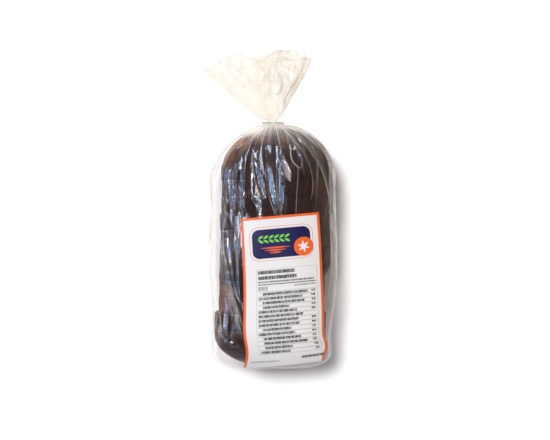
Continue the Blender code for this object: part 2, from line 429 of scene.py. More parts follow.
@dataclass(frozen=True)
class CrustFinish:
    """Baked crust, dark on the crown and lighter at the sides and heels, with the heels' colour painted as
    light on the left flank, and cut crumb.
    """

    name: str = "dark_crust"
    crown: Colour = (0.017, 0.0052, 0.0046)
    crown_light: Colour = (0.032, 0.0105, 0.0085)
    side: Colour = (0.095, 0.042, 0.026)
    heel_and_painted_light: Colour = (0.250, 0.090, 0.030)
    crumb: Colour = (0.165, 0.085, 0.052)
    painted_pore_shade: Colour = (0.070, 0.032, 0.018)
    crown_from: float = 0.040
    crown_to: float = 0.076
    roughness: float = 0.62
    gloss: float = 0.08
    broad_scale: float = 45.0
    patch_scale: float = 38.0
    fine_scale: float = 420.0
    pore_scale: float = 520.0
    speck_scale: float = 1500.0
    relief: float = 0.0009

    def build(self) -> bpy.types.Material:
        """Build the material.

        Returns:
            The material.
        """
        tree = Tree(self.name)
        place = tree.out("ShaderNodeTexCoord", None, None, "Object")
        height = tree.out("ShaderNodeSeparateXYZ", None, {0: place}, "Z")
        crumb, heel_and_painted_light = tree.attribute("crumb"), tree.attribute("heel_and_painted_light")
        broad = tree.noise(place, self.broad_scale, 4.0, 0.6)
        fine = tree.noise(place, self.fine_scale, 3.0, 0.6)
        specks = tree.noise(place, self.speck_scale, 2.0, 0.6)
        cells = {"Vector": place, "Scale": self.pore_scale}
        pores = tree.out("ShaderNodeTexVoronoi", {"feature": "F1"}, cells, 0)
        upper = (height + 0.020 * (broad - 0.5)).ramp(self.crown_from, self.crown_to)
        crown = tree.mix(broad.ramp(0.42, 0.72), self.crown, self.crown_light)
        crust = tree.mix(upper, self.side, crown)
        patches = tree.noise(place, self.patch_scale, 2.0, 0.55)
        # The heels' colour in patches; the same mask paints light on the loaf's left flank and leaves painted
        # shade on its right.
        crust = tree.mix((heel_and_painted_light * (patches - 0.18) * 3.2).ramp(0.30, 1.0), crust, self.heel_and_painted_light)
        crust = tree.mix(fine.ramp(0.55, 0.75) * 0.22, crust, self.side)
        crust = tree.mix(specks.ramp(0.64, 0.76) * (0.30 - 0.20 * upper), crust, self.heel_and_painted_light)
        # The crumb darkens in the hollows of its pores: painted shade.
        open_crumb = tree.mix(pores.ramp(0.50, 0.12) * 0.7, self.crumb, self.painted_pore_shade)
        open_crumb = tree.mix(specks.ramp(0.58, 0.70) * 0.5, open_crumb, self.heel_and_painted_light)
        colour = tree.mix(crumb, crust, open_crumb)
        relief = 0.6 * fine + 0.25 * specks + crumb * (0.7 * pores)
        shader = tree.out("ShaderNodeBsdfPrincipled", None, {
            "Base Color": colour,
            "Roughness": self.roughness + 0.2 * (fine - 0.5) + 0.2 * crumb,
            "Specular IOR Level": self.gloss,
            "Normal": tree.bump(relief, self.relief)})
        return tree.finish(shader)


@dataclass(frozen=True)
class FilmFinish:
    """Clear film: see-through, glossy, streaked by fine creases, and milky where it is folded; part of the
    milkiness paints highlights and shade.

    The creases are contour lines of noise on the unrolled skin, drawn out along the bag.
    """

    name: str
    haze: Colour = (0.80, 0.75, 0.70)
    tint: Colour = (0.972, 0.966, 0.962)
    face_on_gloss: float = 0.033
    edge_gloss: float = 0.55
    edge_power: float = 4.0
    edge_haze: float = 0.22
    gloss_roughness: float = 0.06
    haze_roughness: float = 0.45
    stretch: float = 0.045
    broad_scale: float = 105.0
    fine_scale: float = 290.0
    broad_line: float = 0.030
    fine_line: float = 0.045
    broad_veil: float = 0.42
    fine_veil: float = 0.26
    relief: float = 0.0020
    patch_scale: float = 24.0
    crinkle_scale: float = 210.0
    crinkle: float = 0.10
    fold_half_width: float = 0.00060
    fold_reach: Place = (0.0015, 0.0008)
    fold_relief: float = 0.05

    def build(self) -> bpy.types.Material:
        """Build the material.

        Returns:
            The material.
        """
        tree = Tree(self.name)
        skin = tree.out("ShaderNodeAttribute", {"attribute_name": "skin"}, None, "Vector")
        longer = {0: skin, 1: (1.0, 1.0, self.stretch)}
        drawn = tree.out("ShaderNodeVectorMath", {"operation": "MULTIPLY"}, longer, 0)
        facing = tree.out("ShaderNodeLayerWeight", None, {"Blend": 0.5}, "Facing")
        veil, streaks = tree.attribute("veil"), tree.attribute("streaks")
        broad = abs(tree.noise(drawn, self.broad_scale, 1.0) - 0.5)
        fine = abs(tree.noise(drawn, self.fine_scale, 1.0) - 0.5)
        patches = tree.noise(skin, self.patch_scale, 2.0)
        lines = broad.ramp(self.broad_line, 0.0) * self.broad_veil * patches.ramp(0.44, 0.60)
        lines = lines + fine.ramp(self.fine_line, 0.0) * self.fine_veil * patches.ramp(0.56, 0.42)
        # The veil holds milky film, the leaves' painted highlights and, on the fan, clouds of painted shade.
        milk = veil + streaks * lines + self.edge_haze * facing ** 3.0
        ridges: Value = 0.0
        for kind in LineKind:
            off_line = abs(tree.attribute(kind.value))
            near_line = tree.attribute(kind.value + "_away").ramp(*self.fold_reach)
            crest = off_line.ramp(self.fold_half_width, 0.0) * near_line
            # Along the leaves' outlines this milkiness is partly a painted highlight.
            milk = milk + crest * tree.attribute(kind.value + "_veil")
            ridges = off_line.ramp(2.0 * self.fold_half_width, 0.0) * near_line + ridges
        crinkles = tree.noise(skin, self.crinkle_scale, 2.0, 0.5)
        creased = (broad + 0.4 * fine) * (0.12 + streaks) + self.crinkle * crinkles * streaks
        creased = creased + self.fold_relief * ridges
        normal = tree.bump(creased, self.relief)
        clear = tree.out("ShaderNodeBsdfTransparent", None, {"Color": (*self.tint, 1.0)})
        gloss = tree.out("ShaderNodeBsdfAnisotropic", None, {
            "Color": (1.0, 1.0, 1.0, 1.0), "Roughness": self.gloss_roughness, "Normal": normal})
        milky = tree.out("ShaderNodeBsdfPrincipled", None, {
            "Base Color": (*self.haze, 1.0), "Roughness": self.haze_roughness, "Normal": normal})
        sheen = self.face_on_gloss + self.edge_gloss * facing ** self.edge_power
        film = tree.out("ShaderNodeMixShader", None, {0: sheen, 1: clear, 2: gloss})
        film = tree.out("ShaderNodeMixShader", None, {0: milk, 1: film, 2: milky})
        return tree.finish(film)


@dataclass(frozen=True)
class ClipFinish:
    """White moulded plastic that lets some light through."""

    name: str = "white_plastic"
    colour: Colour = (0.90, 0.90, 0.88)
    shade: Colour = (0.84, 0.84, 0.83)
    see_through: float = 0.50
    roughness: float = 0.32
    cloud_scale: float = 180.0
    grain_scale: float = 2600.0
    relief: float = 0.00004

    def build(self) -> bpy.types.Material:
        """Build the material.

        Returns:
            The material.
        """
        tree = Tree(self.name)
        place = tree.out("ShaderNodeTexCoord", None, None, "Object")
        cloud = tree.noise(place, self.cloud_scale, 3.0, 0.5)
        grain = tree.noise(place, self.grain_scale, 2.0, 0.5)
        shader = tree.out("ShaderNodeBsdfPrincipled", None, {
            "Base Color": tree.mix(cloud, self.colour, self.shade),
            "Roughness": self.roughness + 0.15 * grain,
            "Normal": tree.bump(grain, self.relief)})
        through = tree.out("ShaderNodeBsdfTranslucent", None, {"Color": (*self.colour, 1.0)})
        shares = {0: self.see_through, 1: shader, 2: through}
        return tree.finish(tree.out("ShaderNodeMixShader", None, shares))


@dataclass(frozen=True)
class FloorFinish:
    """Plain white ground."""

    name: str = "white_ground"
    colour: Colour = (0.93, 0.93, 0.94)

    def build(self) -> bpy.types.Material:
        """Build the material.

        Returns:
            The material.
        """
        tree = Tree(self.name)
        shader = tree.out("ShaderNodeBsdfPrincipled", None, {
            "Base Color": (*self.colour, 1.0), "Roughness": 0.9, "Specular IOR Level": 0.1})
        return tree.finish(shader)


@dataclass(frozen=True)
class LabelFinish:
    """Printed white paper: an orange border, a navy field with motifs, and a table of bars.

    Places on the label are in millimetres from its upper left corner, read from its UV map.
    """

    name: str = "printed_paper"
    width: float = 77.0
    height: float = 150.0
    paper: Colour = (0.63, 0.62, 0.625)
    orange: Colour = (0.66, 0.105, 0.016)
    navy: Colour = (0.006, 0.004, 0.055)
    green: Colour = (0.16, 0.50, 0.05)
    ink: Colour = (0.018, 0.018, 0.020)
    border: float = 2.5
    badge_centre: Place = (38.5, 27.0)
    badge_half: Place = (28.5, 14.5)
    badge_corner: float = 7.0
    outline_gap: float = 2.2
    outline_half: float = 0.22
    ear_start: Place = (-20.0, -4.6)
    ear_pairs: int = 6
    ear_step: float = 5.2
    ear_spread: float = 2.1
    ear_grain: Place = (3.1, 1.15)
    ear_turn: float = 0.55
    stripe_shift: float = -6.0
    stripe_width: float = 0.8
    stripes: tuple[Place, ...] = ((4.2, 15.5), (6.6, 11.0), (9.0, 6.5))
    sun_offset: Place = (21.5, 5.5)
    sun_radius: float = 9.4
    star_grain: Place = (6.2, 1.3)
    star_turn: float = 0.35
    table_left: float = 12.5
    table_right: float = 71.5
    table_top: float = 52.0
    table_frame: float = 0.3
    table_inset: float = 1.8
    title_bars: tuple[Place, ...] = ((53.6, 36.0), (59.0, 37.5))
    title_height: float = 3.5
    small_print: Place = (64.0, 65.8)
    heavy_rule: Place = (67.0, 67.9)
    left_head: tuple[float, float, float] = (11.0, 69.2, 73.4)
    right_head: tuple[float, float, float] = (22.0, 69.2, 71.0)
    right_mark: tuple[float, float, float, float] = (54.0, 141.0, 75.0, 143.6)
    left_mark: tuple[float, float, float, float] = (6.0, 143.6, 33.0, 145.0)
    rows_top: float = 74.5
    row_pitch: float = 4.45
    row_count: int = 14
    shortest_row: float = 24.0
    row_spread: float = 20.0

    def box(self, across: Sock, down: Sock, left: float, top: float, right: float, bottom: float) -> Sock:
        """1 inside a rectangle of the label, else 0.

        Args:
            across: Place across the label.
            down: Place down the label.
            left: The rectangle's left edge.
            top: Its top edge.
            right: Its right edge.
            bottom: Its bottom edge.

        Returns:
            The mask.
        """
        middle_x, middle_y = (left + right) / 2, (top + bottom) / 2
        inside_x = abs(across - middle_x) < (right - left) / 2
        return inside_x * (abs(down - middle_y) < (bottom - top) / 2)

    def grain(self, across: Sock, down: Sock, x: float, y: float, length: float, width: float,
              turn: float) -> Sock:
        """1 inside a pointed grain: where |v| < w (1 - (u / l)^2) along its own axes.

        Args:
            across: Place across the label.
            down: Place down the label.
            x: The grain's middle across.
            y: Its middle down.
            length: Half its length.
            width: Half its width.
            turn: Its turn from the label's rows.

        Returns:
            The mask.
        """
        cosine, sine = math.cos(turn), math.sin(turn)
        along = (across - x) * cosine + (down - y) * sine
        beside = (down - y) * cosine - (across - x) * sine
        return abs(beside) < width * (1.0 - (along / length) ** 2.0)

    def badge(self, tree: Tree, across: Sock, down: Sock, colour: Sock) -> Sock:
        """Paint the navy field, an ear of green grains, orange stripes and an orange sun with a star.

        Args:
            tree: The material's tree.
            across: Place across the label.
            down: Place down the label.
            colour: What lies under the badge.

        Returns:
            The colour with the badge over it.
        """
        centre_x, centre_y = self.badge_centre
        half_x, half_y = self.badge_half
        corner = self.badge_corner
        over_x = (abs(across - centre_x) - (half_x - corner)).math("MAXIMUM", 0.0)
        over_y = (abs(down - centre_y) - (half_y - corner)).math("MAXIMUM", 0.0)
        reach = (over_x * over_x + over_y * over_y).math("SQRT")
        outline = abs(reach - (corner + self.outline_gap)) < self.outline_half
        colour = tree.mix(outline, colour, self.orange)
        colour = tree.mix(reach < corner, colour, self.navy)
        ears: Optional[Sock] = None
        for index in range(self.ear_pairs):
            x = centre_x + self.ear_start[0] + self.ear_step * index
            for side in (-1.0, 1.0):
                y = centre_y + self.ear_start[1] + self.ear_spread * side
                mark = self.grain(across, down, x, y, *self.ear_grain, self.ear_turn * side)
                ears = mark if ears is None else ears.math("MAXIMUM", mark)
        colour = tree.mix(ears, colour, self.green)
        for drop, half_length in self.stripes:
            stripe = self.grain(across, down, centre_x + self.stripe_shift, centre_y + drop,
                                half_length, self.stripe_width, 0.0)
            colour = tree.mix(stripe, colour, self.orange)
        sun_x, sun_y = centre_x + self.sun_offset[0], centre_y + self.sun_offset[1]
        from_sun = ((across - sun_x) * (across - sun_x) + (down - sun_y) * (down - sun_y)).math("SQRT")
        colour = tree.mix(from_sun < self.sun_radius, colour, self.orange)
        star: Optional[Sock] = None
        for step in (0.0, math.pi / 3, -math.pi / 3):
            mark = self.grain(across, down, sun_x, sun_y, *self.star_grain, self.star_turn + step)
            star = mark if star is None else star.math("MAXIMUM", mark)
        return tree.mix(star, colour, self.paper)

    def table(self, tree: Tree, across: Sock, down: Sock, letters: Sock) -> Sock:
        """How much ink the table lays down: a frame, heavy title bars, rules, and rows of short bars.

        Args:
            tree: The material's tree.
            across: Place across the label.
            down: Place down the label.
            letters: A mask that breaks the bars into short marks.

        Returns:
            Ink from 0 to 1.
        """
        left, right = self.table_left, self.table_right
        bottom = self.rows_top + self.row_pitch * self.row_count
        outer = self.box(across, down, left, self.table_top, right, bottom)
        line, inset = self.table_frame, left + self.table_inset
        inner = self.box(across, down, left + line, self.table_top + line, right - line, bottom - line)
        ink = (outer - inner) * 0.55
        for top, length in self.title_bars:
            bar = self.box(across, down, inset, top, inset + length, top + self.title_height)
            ink = ink.math("MAXIMUM", bar * (0.25 + 0.75 * letters))
        small = self.box(across, down, inset, self.small_print[0], right - 3.0, self.small_print[1])
        ink = ink.math("MAXIMUM", small * letters * 0.85)
        rule = self.box(across, down, left + 1.5, self.heavy_rule[0], right - 1.5, self.heavy_rule[1])
        ink = ink.math("MAXIMUM", rule)
        reach, top, foot = self.left_head
        heads = self.box(across, down, inset, top, left + reach, foot)
        reach, top, foot = self.right_head
        heads = heads.math("MAXIMUM", self.box(across, down, right - reach, top, right - 1.5, foot))
        ink = ink.math("MAXIMUM", heads * letters * 0.6)
        step = (down - self.rows_top) / self.row_pitch
        row = step.floor()
        part = step - row
        draw = tree.out("ShaderNodeTexWhiteNoise", {"noise_dimensions": "1D"}, {"W": row + 0.5}, "Value")
        second = tree.out("ShaderNodeTexWhiteNoise", {"noise_dimensions": "1D"}, {"W": row + 30.5}, "Value")
        indent = left + 2.0 + 4.0 * (second > 0.68)
        length = self.shortest_row + self.row_spread * draw
        in_row = (across > indent) * (across < indent + length) * (abs(part - 0.54) < 0.29)
        values = (abs(across - (right - 4.2)) < 2.0) * (abs(part - 0.44) < 0.21) * (second > 0.25)
        marks = (in_row + values).math("MINIMUM", 1.0) * letters
        rules = (abs(part - 0.03) < 0.055) * (abs(across - (left + right) / 2) < (right - left) / 2 - 1.5)
        body = (marks * 0.97).math("MAXIMUM", rules * 0.75)
        body = body * self.box(across, down, left, self.rows_top, right, bottom)
        return ink.math("MAXIMUM", body)

    def build(self) -> bpy.types.Material:
        """Build the material.

        Returns:
            The material.
        """
        tree = Tree(self.name)
        uv = tree.out("ShaderNodeTexCoord", None, None, "UV")
        split = tree.node("ShaderNodeSeparateXYZ", None, {0: uv})
        across = Sock(tree, split.outputs["X"]) * self.width
        down = (1.0 - Sock(tree, split.outputs["Y"])) * self.height
        spread = tree.out("ShaderNodeCombineXYZ", None, {"X": across * 1.15, "Y": (down * 0.30).floor()})
        letters = tree.noise(spread, 1.0, 1.0, 0.4).ramp(0.40, 0.46)
        fibre = tree.noise(tree.out("ShaderNodeTexCoord", None, None, "Object"), 900.0, 3.0, 0.6)
        edge = self.border
        bare = self.box(across, down, edge, edge, self.width - edge, self.height + edge)
        colour = tree.mix(bare, self.orange, self.paper)
        colour = self.badge(tree, across, down, colour)
        ink = self.table(tree, across, down, letters)
        foot = self.box(across, down, *self.right_mark)
        foot = foot.math("MAXIMUM", self.box(across, down, *self.left_mark) * 0.6)
        ink = ink.math("MAXIMUM", foot * letters)
        colour = tree.mix(ink * (0.92 + 0.16 * (fibre - 0.5)), colour, self.ink)
        shader = tree.out("ShaderNodeBsdfPrincipled", None, {
            "Base Color": colour,
            "Roughness": 0.38 + 0.2 * fibre,
            "Specular IOR Level": 0.25,
            "Normal": tree.bump(fibre, 0.00006)})
        return tree.finish(shader)


@dataclass(frozen=True)
class Neck:
    """The neck's axis in the row frame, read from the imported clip."""

    x: float
    y: float
    z: float

    @classmethod
    def from_clip(cls) -> "Neck":
        """The middle of the clip's box."""
        low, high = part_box(Node.CLIP.value)
        return cls(*((low[axis] + high[axis]) / 2 for axis in range(3)))

    def world(self, across: Array, back: Array, height: Array) -> Array:
        """Points of the row frame from places across, back from the clip, and above the ground."""
        across, back, height = np.broadcast_arrays(across, back, height)
        return np.stack((self.x + across, self.y - back, height), axis=-1)


@dataclass(frozen=True)
class BagForm:
    """The smooth form of the filled bag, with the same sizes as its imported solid."""

    neck: Neck
    length: float = 0.2455
    half_width: float = 0.062
    crown_height: float = 0.094
    base_dip: float = 0.001
    crown_power: float = 2.9
    base_power: float = 5.0
    neck_radius: float = 0.0034
    neck_half_length: float = 0.0012
    neck_taper_plan: float = 0.060
    neck_power_left: float = 1.65
    neck_power_right: float = 2.0
    neck_taper_crown: float = 0.058
    neck_taper_base: float = 0.034
    neck_power_height: float = 2.1
    tail_taper_plan: float = 0.030
    tail_power_plan: float = 4.0
    tail_taper_crown: float = 0.045
    tail_taper_base: float = 0.018
    tail_power_height: float = 2.4
    right_tuck: float = 0.0040
    tuck_from: float = 0.150
    tuck_length: float = 0.080
    sway: float = 0.0012
    sway_length: float = 0.11
    round_neck_reach: float = 0.010

    def sizes(self, back: Array) -> tuple[Array, Array, Array, Array]:
        """Left and right half widths, and crown and base heights from the waist.

        Each is the neck's radius plus what is left of the full size times a rounding at the
        neck, and all are rounded at the tail. The right side is tucked in towards the tail,
        and a sine along the pack sways both sides.

        Args:
            back: Distances back from the clip.

        Returns:
            The four sizes at each distance.
        """
        back = np.asarray(back, float)
        from_neck = back - self.neck_half_length
        from_tail = self.length - back
        tail = rounding(from_tail, self.tail_taper_plan, self.tail_power_plan)
        width = (self.half_width - self.neck_radius) * tail
        left = width * rounding(from_neck, self.neck_taper_plan, self.neck_power_left)
        left = self.neck_radius * tail + left
        full = rounding(from_neck, self.neck_taper_plan, self.neck_power_right)
        tuck = self.right_tuck * smooth((back - self.tuck_from) / self.tuck_length)
        right = self.neck_radius * tail + (width - tuck) * full
        sway = self.sway * np.sin(math.tau * back / self.sway_length) * full * tail
        rise = self.crown_height - self.neck.z - self.neck_radius
        crown = self.neck_radius + rise * rounding(from_neck, self.neck_taper_crown, self.neck_power_height)
        drop = self.neck.z + self.base_dip - self.neck_radius
        base = self.neck_radius + drop * rounding(from_neck, self.neck_taper_base, self.neck_power_height)
        crown = crown * rounding(from_tail, self.tail_taper_crown, self.tail_power_height)
        base = base * rounding(from_tail, self.tail_taper_base, self.tail_power_height)
        return left + sway, right + sway, crown, base

    def section(self, back: Array, turn: Array) -> tuple[Array, Array]:
        """Places across and above the ground on the skin, as a superellipse with two powers.

        Args:
            back: Distances back from the clip.
            turn: Turns about the pack's axis, from +X over the crown.

        Returns:
            Places across, and heights, not yet held above the ground.
        """
        left, right, crown, base = self.sizes(back)
        square = rounding(np.asarray(back) - self.neck_half_length, self.round_neck_reach, 2.0)
        cosine, sine = np.cos(turn), np.sin(turn)
        power = 2.0 / np.where(sine >= 0.0, self.crown_power, self.base_power)
        power = 1.0 + (power - 1.0) * square
        across = np.where(cosine >= 0.0, right, left) * signed_power(cosine, power)
        height = self.neck.z + np.where(sine >= 0.0, crown, base) * signed_power(sine, power)
        return across, height

    def crown_surface(self, across: Array, back: Array) -> Array:
        """Height of the upper skin: the axis plus crown (1 - |x / half width|^p)^(1 / p).

        Args:
            across: Places across.
            back: Distances back from the clip.

        Returns:
            Heights above the ground.
        """
        left, right, crown, _ = self.sizes(back)
        share = np.clip(np.abs(across) / np.where(across >= 0.0, right, left), 0.0, 1.0)
        return self.neck.z + crown * (1.0 - share ** self.crown_power) ** (1.0 / self.crown_power)


@dataclass
class FoldField:
    """Distances from the film's points to their nearest fold line, for the material to draw it."""

    kind: LineKind
    signed: Array
    away: Array
    veil: Array

    @classmethod
    def empty(cls, kind: LineKind, shape: tuple[int, ...], far: float = 0.010) -> "FoldField":
        """A field without folds."""
        return cls(kind, np.full(shape, far), np.full(shape, far), np.zeros(shape))

    def add(self, distance: Array, veil: Array, least: float = 0.02) -> None:
        """Take in one fold line where it is the nearest so far.

        Args:
            distance: Signed distances from the line.
            veil: How milky the line is at each point; it counts only where this is above least.
            least: The faintest milkiness that counts.
        """
        nearer = (np.abs(distance) < self.away) & (veil > least)
        self.signed = np.where(nearer, distance, self.signed)
        self.away = np.where(nearer, np.abs(distance), self.away)
        self.veil = np.where(nearer, veil, self.veil)

    def clear(self, inside: Array) -> None:
        """Fade every line where a share of another facet lies over it."""
        self.veil = self.veil * (1.0 - inside)

    def attributes(self) -> dict[str, Array]:
        """The field as mesh attributes."""
        name = self.kind.value
        return {name: self.signed, name + "_away": self.away, name + "_veil": self.veil}


@dataclass(frozen=True)
class Crease:
    """A sharp fold over the crown, through three places given as across and back."""

    start: Place
    middle: Place
    end: Place
    veil: float = 0.34
    height: float = 0.0009
    spread: float = 0.0026
    fade_in: float = 0.004
    fade_out: float = 0.020
    wear: float = 0.25
    wear_length: float = 0.011

    def lay(self, across: Array, back: Array) -> tuple[Array, Array, Array]:
        """Height, distance and milkiness of the fold.

        The fold's place across is the quadratic in back through its three places. Beside it
        the film falls away as a bell curve, and its crest is a milky line with soft ends.

        Args:
            across: Places across.
            back: Distances back from the clip.

        Returns:
            Heights of the ridge, signed distances from its crest, and the crest's milkiness.
        """
        (x0, y0), (x1, y1), (x2, y2) = self.start, self.middle, self.end
        course = x0 * (back - y1) * (back - y2) / ((y0 - y1) * (y0 - y2))
        course = course + x1 * (back - y0) * (back - y2) / ((y1 - y0) * (y1 - y2))
        course = course + x2 * (back - y0) * (back - y1) / ((y2 - y0) * (y2 - y1))
        lean = math.atan2(x2 - x0, y2 - y0)
        beside = (across - course) * math.cos(lean)
        ends = smooth((back - y0) / self.fade_in) * smooth((y2 - back) / self.fade_out)
        ridge = self.height * np.exp(-(beside / self.spread) ** 2) * ends
        wear = 1.0 - self.wear + self.wear * np.sin(back / self.wear_length + 200.0 * x1)
        return ridge, beside, self.veil * ends * wear


@dataclass(frozen=True)
class Leaf:
    """A leaf-shaped facet of taut film between two folds, pointed at both ends."""

    start: Place
    end: Place
    half_width: float
    tilt: float = 0.0
    depth: float = 0.0005
    # Milkiness of the outline, partly a painted highlight.
    veil: float = 0.36
    bow: float = 5.0
    # How much milky streaking fills the inside: a painted highlight.
    fill: float = 0.0
    lean: float = 0.0
    faint_side: float = 0.20
    blend: float = 0.35

    def lay(self, across: Array, back: Array) -> tuple[Array, Array, Array, Array, Array]:
        """Shape of the facet, the share of it at each place, its outline, and the streaks inside, which paint
        highlights.

        Along the leaf its half width is W (1 - s^2) (1 + lean s), with s from -1 to 1. Inside,
        the film lies depth below its surroundings, tilted across and slightly bowed.

        Args:
            across: Places across.
            back: Distances back from the clip.

        Returns:
            Heights, shares from 0 to 1, signed distances from the outline, the outline's milkiness,
            which is partly a painted highlight, and the inside's milky streaks, a painted highlight.
        """
        middle_x, middle_y = (self.start[0] + self.end[0]) / 2, (self.start[1] + self.end[1]) / 2
        length = math.hypot(self.end[0] - self.start[0], self.end[1] - self.start[1])
        cosine, sine = (self.end[1] - self.start[1]) / length, (self.end[0] - self.start[0]) / length
        along = (back - middle_y) * cosine + (across - middle_x) * sine
        beside = (across - middle_x) * cosine - (back - middle_y) * sine
        share = 2.0 * along / length
        width = self.half_width * np.clip((1.0 - share ** 2) * (1.0 + self.lean * share), 1e-3, None)
        inside = smooth((1.0 - np.abs(beside) / width) / self.blend)
        inside = np.where(np.abs(along) < length / 2, inside, 0.0)
        shape = self.tilt * beside + self.bow * beside ** 2 - self.depth
        beyond = np.clip(np.abs(along) - length / 2, 0.0, None)
        outline = np.where(beyond > 0.0, np.hypot(beside, beyond), np.abs(beside) - width)
        # The outline is full on the leaf's left and faint on its right: a milky fold, partly a painted
        # highlight on the side the light comes from.
        edge = np.where(beside < 0.0, 1.0, self.faint_side)
        edge = edge * (0.75 + 0.25 * np.sin(along / 0.009 + 90.0 * self.start[0]))
        # The fill's milky streaks paint a white highlight inside the leaf.
        painted_fill_highlight = 0.80 + 0.12 * np.sin(1500.0 * beside + 180.0 * along)
        painted_fill_highlight = self.fill * (painted_fill_highlight + 0.08 * np.sin(3700.0 * beside - 260.0 * along))
        return shape, inside, outline, self.veil * edge * smooth((1.0 - np.abs(share)) / 0.10), painted_fill_highlight


@dataclass
class BagFilm:
    """The clear film over the loaf, from its closed bottom end to the clip."""

    form: BagForm
    material: bpy.types.Material
    rows: int = 188
    columns: int = 524
    base_share: float = 0.42
    fold_count: int = 34
    fold_height: float = 0.0019
    fold_width: float = 0.0058
    width_range: Place = (0.6, 1.7)
    height_range: Place = (0.3, 1.0)
    short_reach: Place = (0.035, 0.100)
    long_reach: Place = (0.12, 0.24)
    drift: float = 0.05
    bend: float = 0.0015
    crumple: float = 0.00040
    fine_crumple: float = 0.00012
    crown_folds: float = 0.40
    knot_place: Place = (-0.044, 0.199)
    knot_size: Place = (0.017, 0.012)
    knot_height: float = 0.0013
    fold_veil: float = 0.26
    neck_veil: float = 0.80
    neck_veil_reach: float = 0.0068
    shoulder_veil: float = 0.50
    shoulder_place: Place = (-0.018, 0.010)
    shoulder_size: Place = (0.012, 0.006)
    ground_gap: float = 0.0002
    end_crowding: float = 0.13
    sides_from: float = 0.050
    crown_to: float = 0.052
    side_blend: float = 0.012
    leaf_calm: float = 0.95
    full_push_width: float = 0.022
    flat_end: float = 0.001
    least_streaks: float = 0.05
    neck_streaks: float = 0.75
    neck_streaks_reach: float = 0.024
    side_streaks: float = 0.5
    knot_streaks: float = 0.7
    seed: int = 11
    leaves: tuple[Leaf, ...] = (
        # The first leaf's fill paints a white highlight.
        Leaf((0.0095, 0.034), (0.0165, 0.060), 0.0032, 0.180, veil=0.15, fill=0.34, lean=0.75),
        Leaf((-0.0200, 0.030), (-0.0078, 0.079), 0.0038, 0.160, lean=0.35),
        Leaf((-0.0055, 0.040), (0.0030, 0.094), 0.0040, 0.200, lean=-0.25),
        Leaf((0.0070, 0.034), (0.0080, 0.094), 0.0040, 0.230, lean=-0.2),
        Leaf((0.0185, 0.026), (0.0270, 0.048), 0.0050, -0.05, veil=0.50),
        Leaf((-0.0250, 0.071), (-0.0160, 0.098), 0.0070, -0.10, veil=0.25, bow=0.0, depth=0.0010),
        Leaf((-0.0400, 0.050), (-0.0370, 0.094), 0.0026, -0.20, veil=0.30),
        Leaf((-0.0322, 0.060), (-0.0310, 0.094), 0.0024, -0.04, veil=0.30),
        Leaf((-0.0470, 0.094), (-0.0400, 0.150), 0.0032, -0.33, veil=0.25),
        Leaf((-0.0375, 0.105), (-0.0340, 0.135), 0.0028, -0.12, veil=0.25),
        Leaf((-0.0315, 0.126), (-0.0290, 0.182), 0.0042, -0.26, veil=0.05),
        Leaf((-0.0484, 0.182), (-0.0466, 0.209), 0.0034, -0.62, veil=0.16, bow=2.0),
        Leaf((-0.0410, 0.186), (-0.0424, 0.213), 0.0028, -0.35, veil=0.16, bow=2.0),
        Leaf((-0.0376, 0.184), (-0.0358, 0.211), 0.0026, -0.187, veil=0.16, bow=2.0),
        Leaf((-0.0500, 0.208), (-0.0330, 0.221), 0.0028, -0.35, veil=0.20, bow=6.0),
    )
    creases: tuple[Crease, ...] = (
        Crease((-0.0040, 0.004), (-0.0095, 0.019), (-0.0030, 0.062), 0.40),
        Crease((0.0020, 0.003), (0.0060, 0.021), (0.0080, 0.070), 0.45, 0.0011),
        Crease((0.0050, 0.005), (0.0315, 0.037), (0.0350, 0.082), 0.34),
        Crease((0.0140, 0.008), (0.0423, 0.041), (0.0515, 0.092), 0.40, 0.0011),
        Crease((0.0180, 0.007), (0.0412, 0.024), (0.0564, 0.058), 0.34),
        Crease((0.0100, 0.006), (0.0240, 0.030), (0.0300, 0.060), 0.22),
        Crease((-0.0060, 0.004), (-0.0260, 0.028), (-0.0350, 0.062), 0.30),
        Crease((-0.0080, 0.003), (-0.0400, 0.031), (-0.0470, 0.060), 0.34),
        Crease((-0.0090, 0.003), (-0.0200, 0.013), (-0.0450, 0.028), 0.36),
        Crease((-0.0025, 0.004), (-0.0180, 0.020), (-0.0270, 0.052), 0.26),
        Crease((-0.0470, 0.080), (-0.0410, 0.096), (-0.0330, 0.112), 0.45, 0.0012),
        Crease((-0.0510, 0.112), (-0.0436, 0.156), (-0.0262, 0.219), 0.42, 0.0014, 0.0016),
        Crease((-0.0480, 0.116), (-0.0412, 0.156), (-0.0240, 0.214), 0.32, 0.0010, 0.0014),
        Crease((-0.0530, 0.118), (-0.0460, 0.160), (-0.0300, 0.216), 0.28, 0.0010, 0.0014),
        Crease((-0.0265, 0.046), (-0.0275, 0.070), (-0.0290, 0.100), 0.10, 0.0011, 0.0020),
        Crease((-0.0345, 0.048), (-0.0352, 0.074), (-0.0370, 0.104), 0.12, 0.0011, 0.0020),
        Crease((-0.0420, 0.046), (-0.0440, 0.080), (-0.0450, 0.118), 0.16, 0.0010, 0.0020),
        Crease((-0.0540, 0.075), (-0.0500, 0.110), (-0.0460, 0.150), 0.30),
        Crease((-0.0430, 0.166), (-0.0340, 0.182), (-0.0285, 0.214), 0.34),
        Crease((0.0590, 0.070), (0.0612, 0.120), (0.0550, 0.210), 0.30),
        Crease((0.0560, 0.130), (0.0580, 0.160), (0.0540, 0.200), 0.26),
    )

    def stations(self) -> Array:
        """Distances back from the clip, crowded towards both ends by part of a sine.

        Returns:
            One distance for each row of points.
        """
        share = np.linspace(0.0, 1.0, self.rows)
        eased = share - self.end_crowding * np.sin(math.tau * share)
        span = self.form.length - self.form.neck_half_length - 0.00005
        return self.form.neck_half_length + span * eased

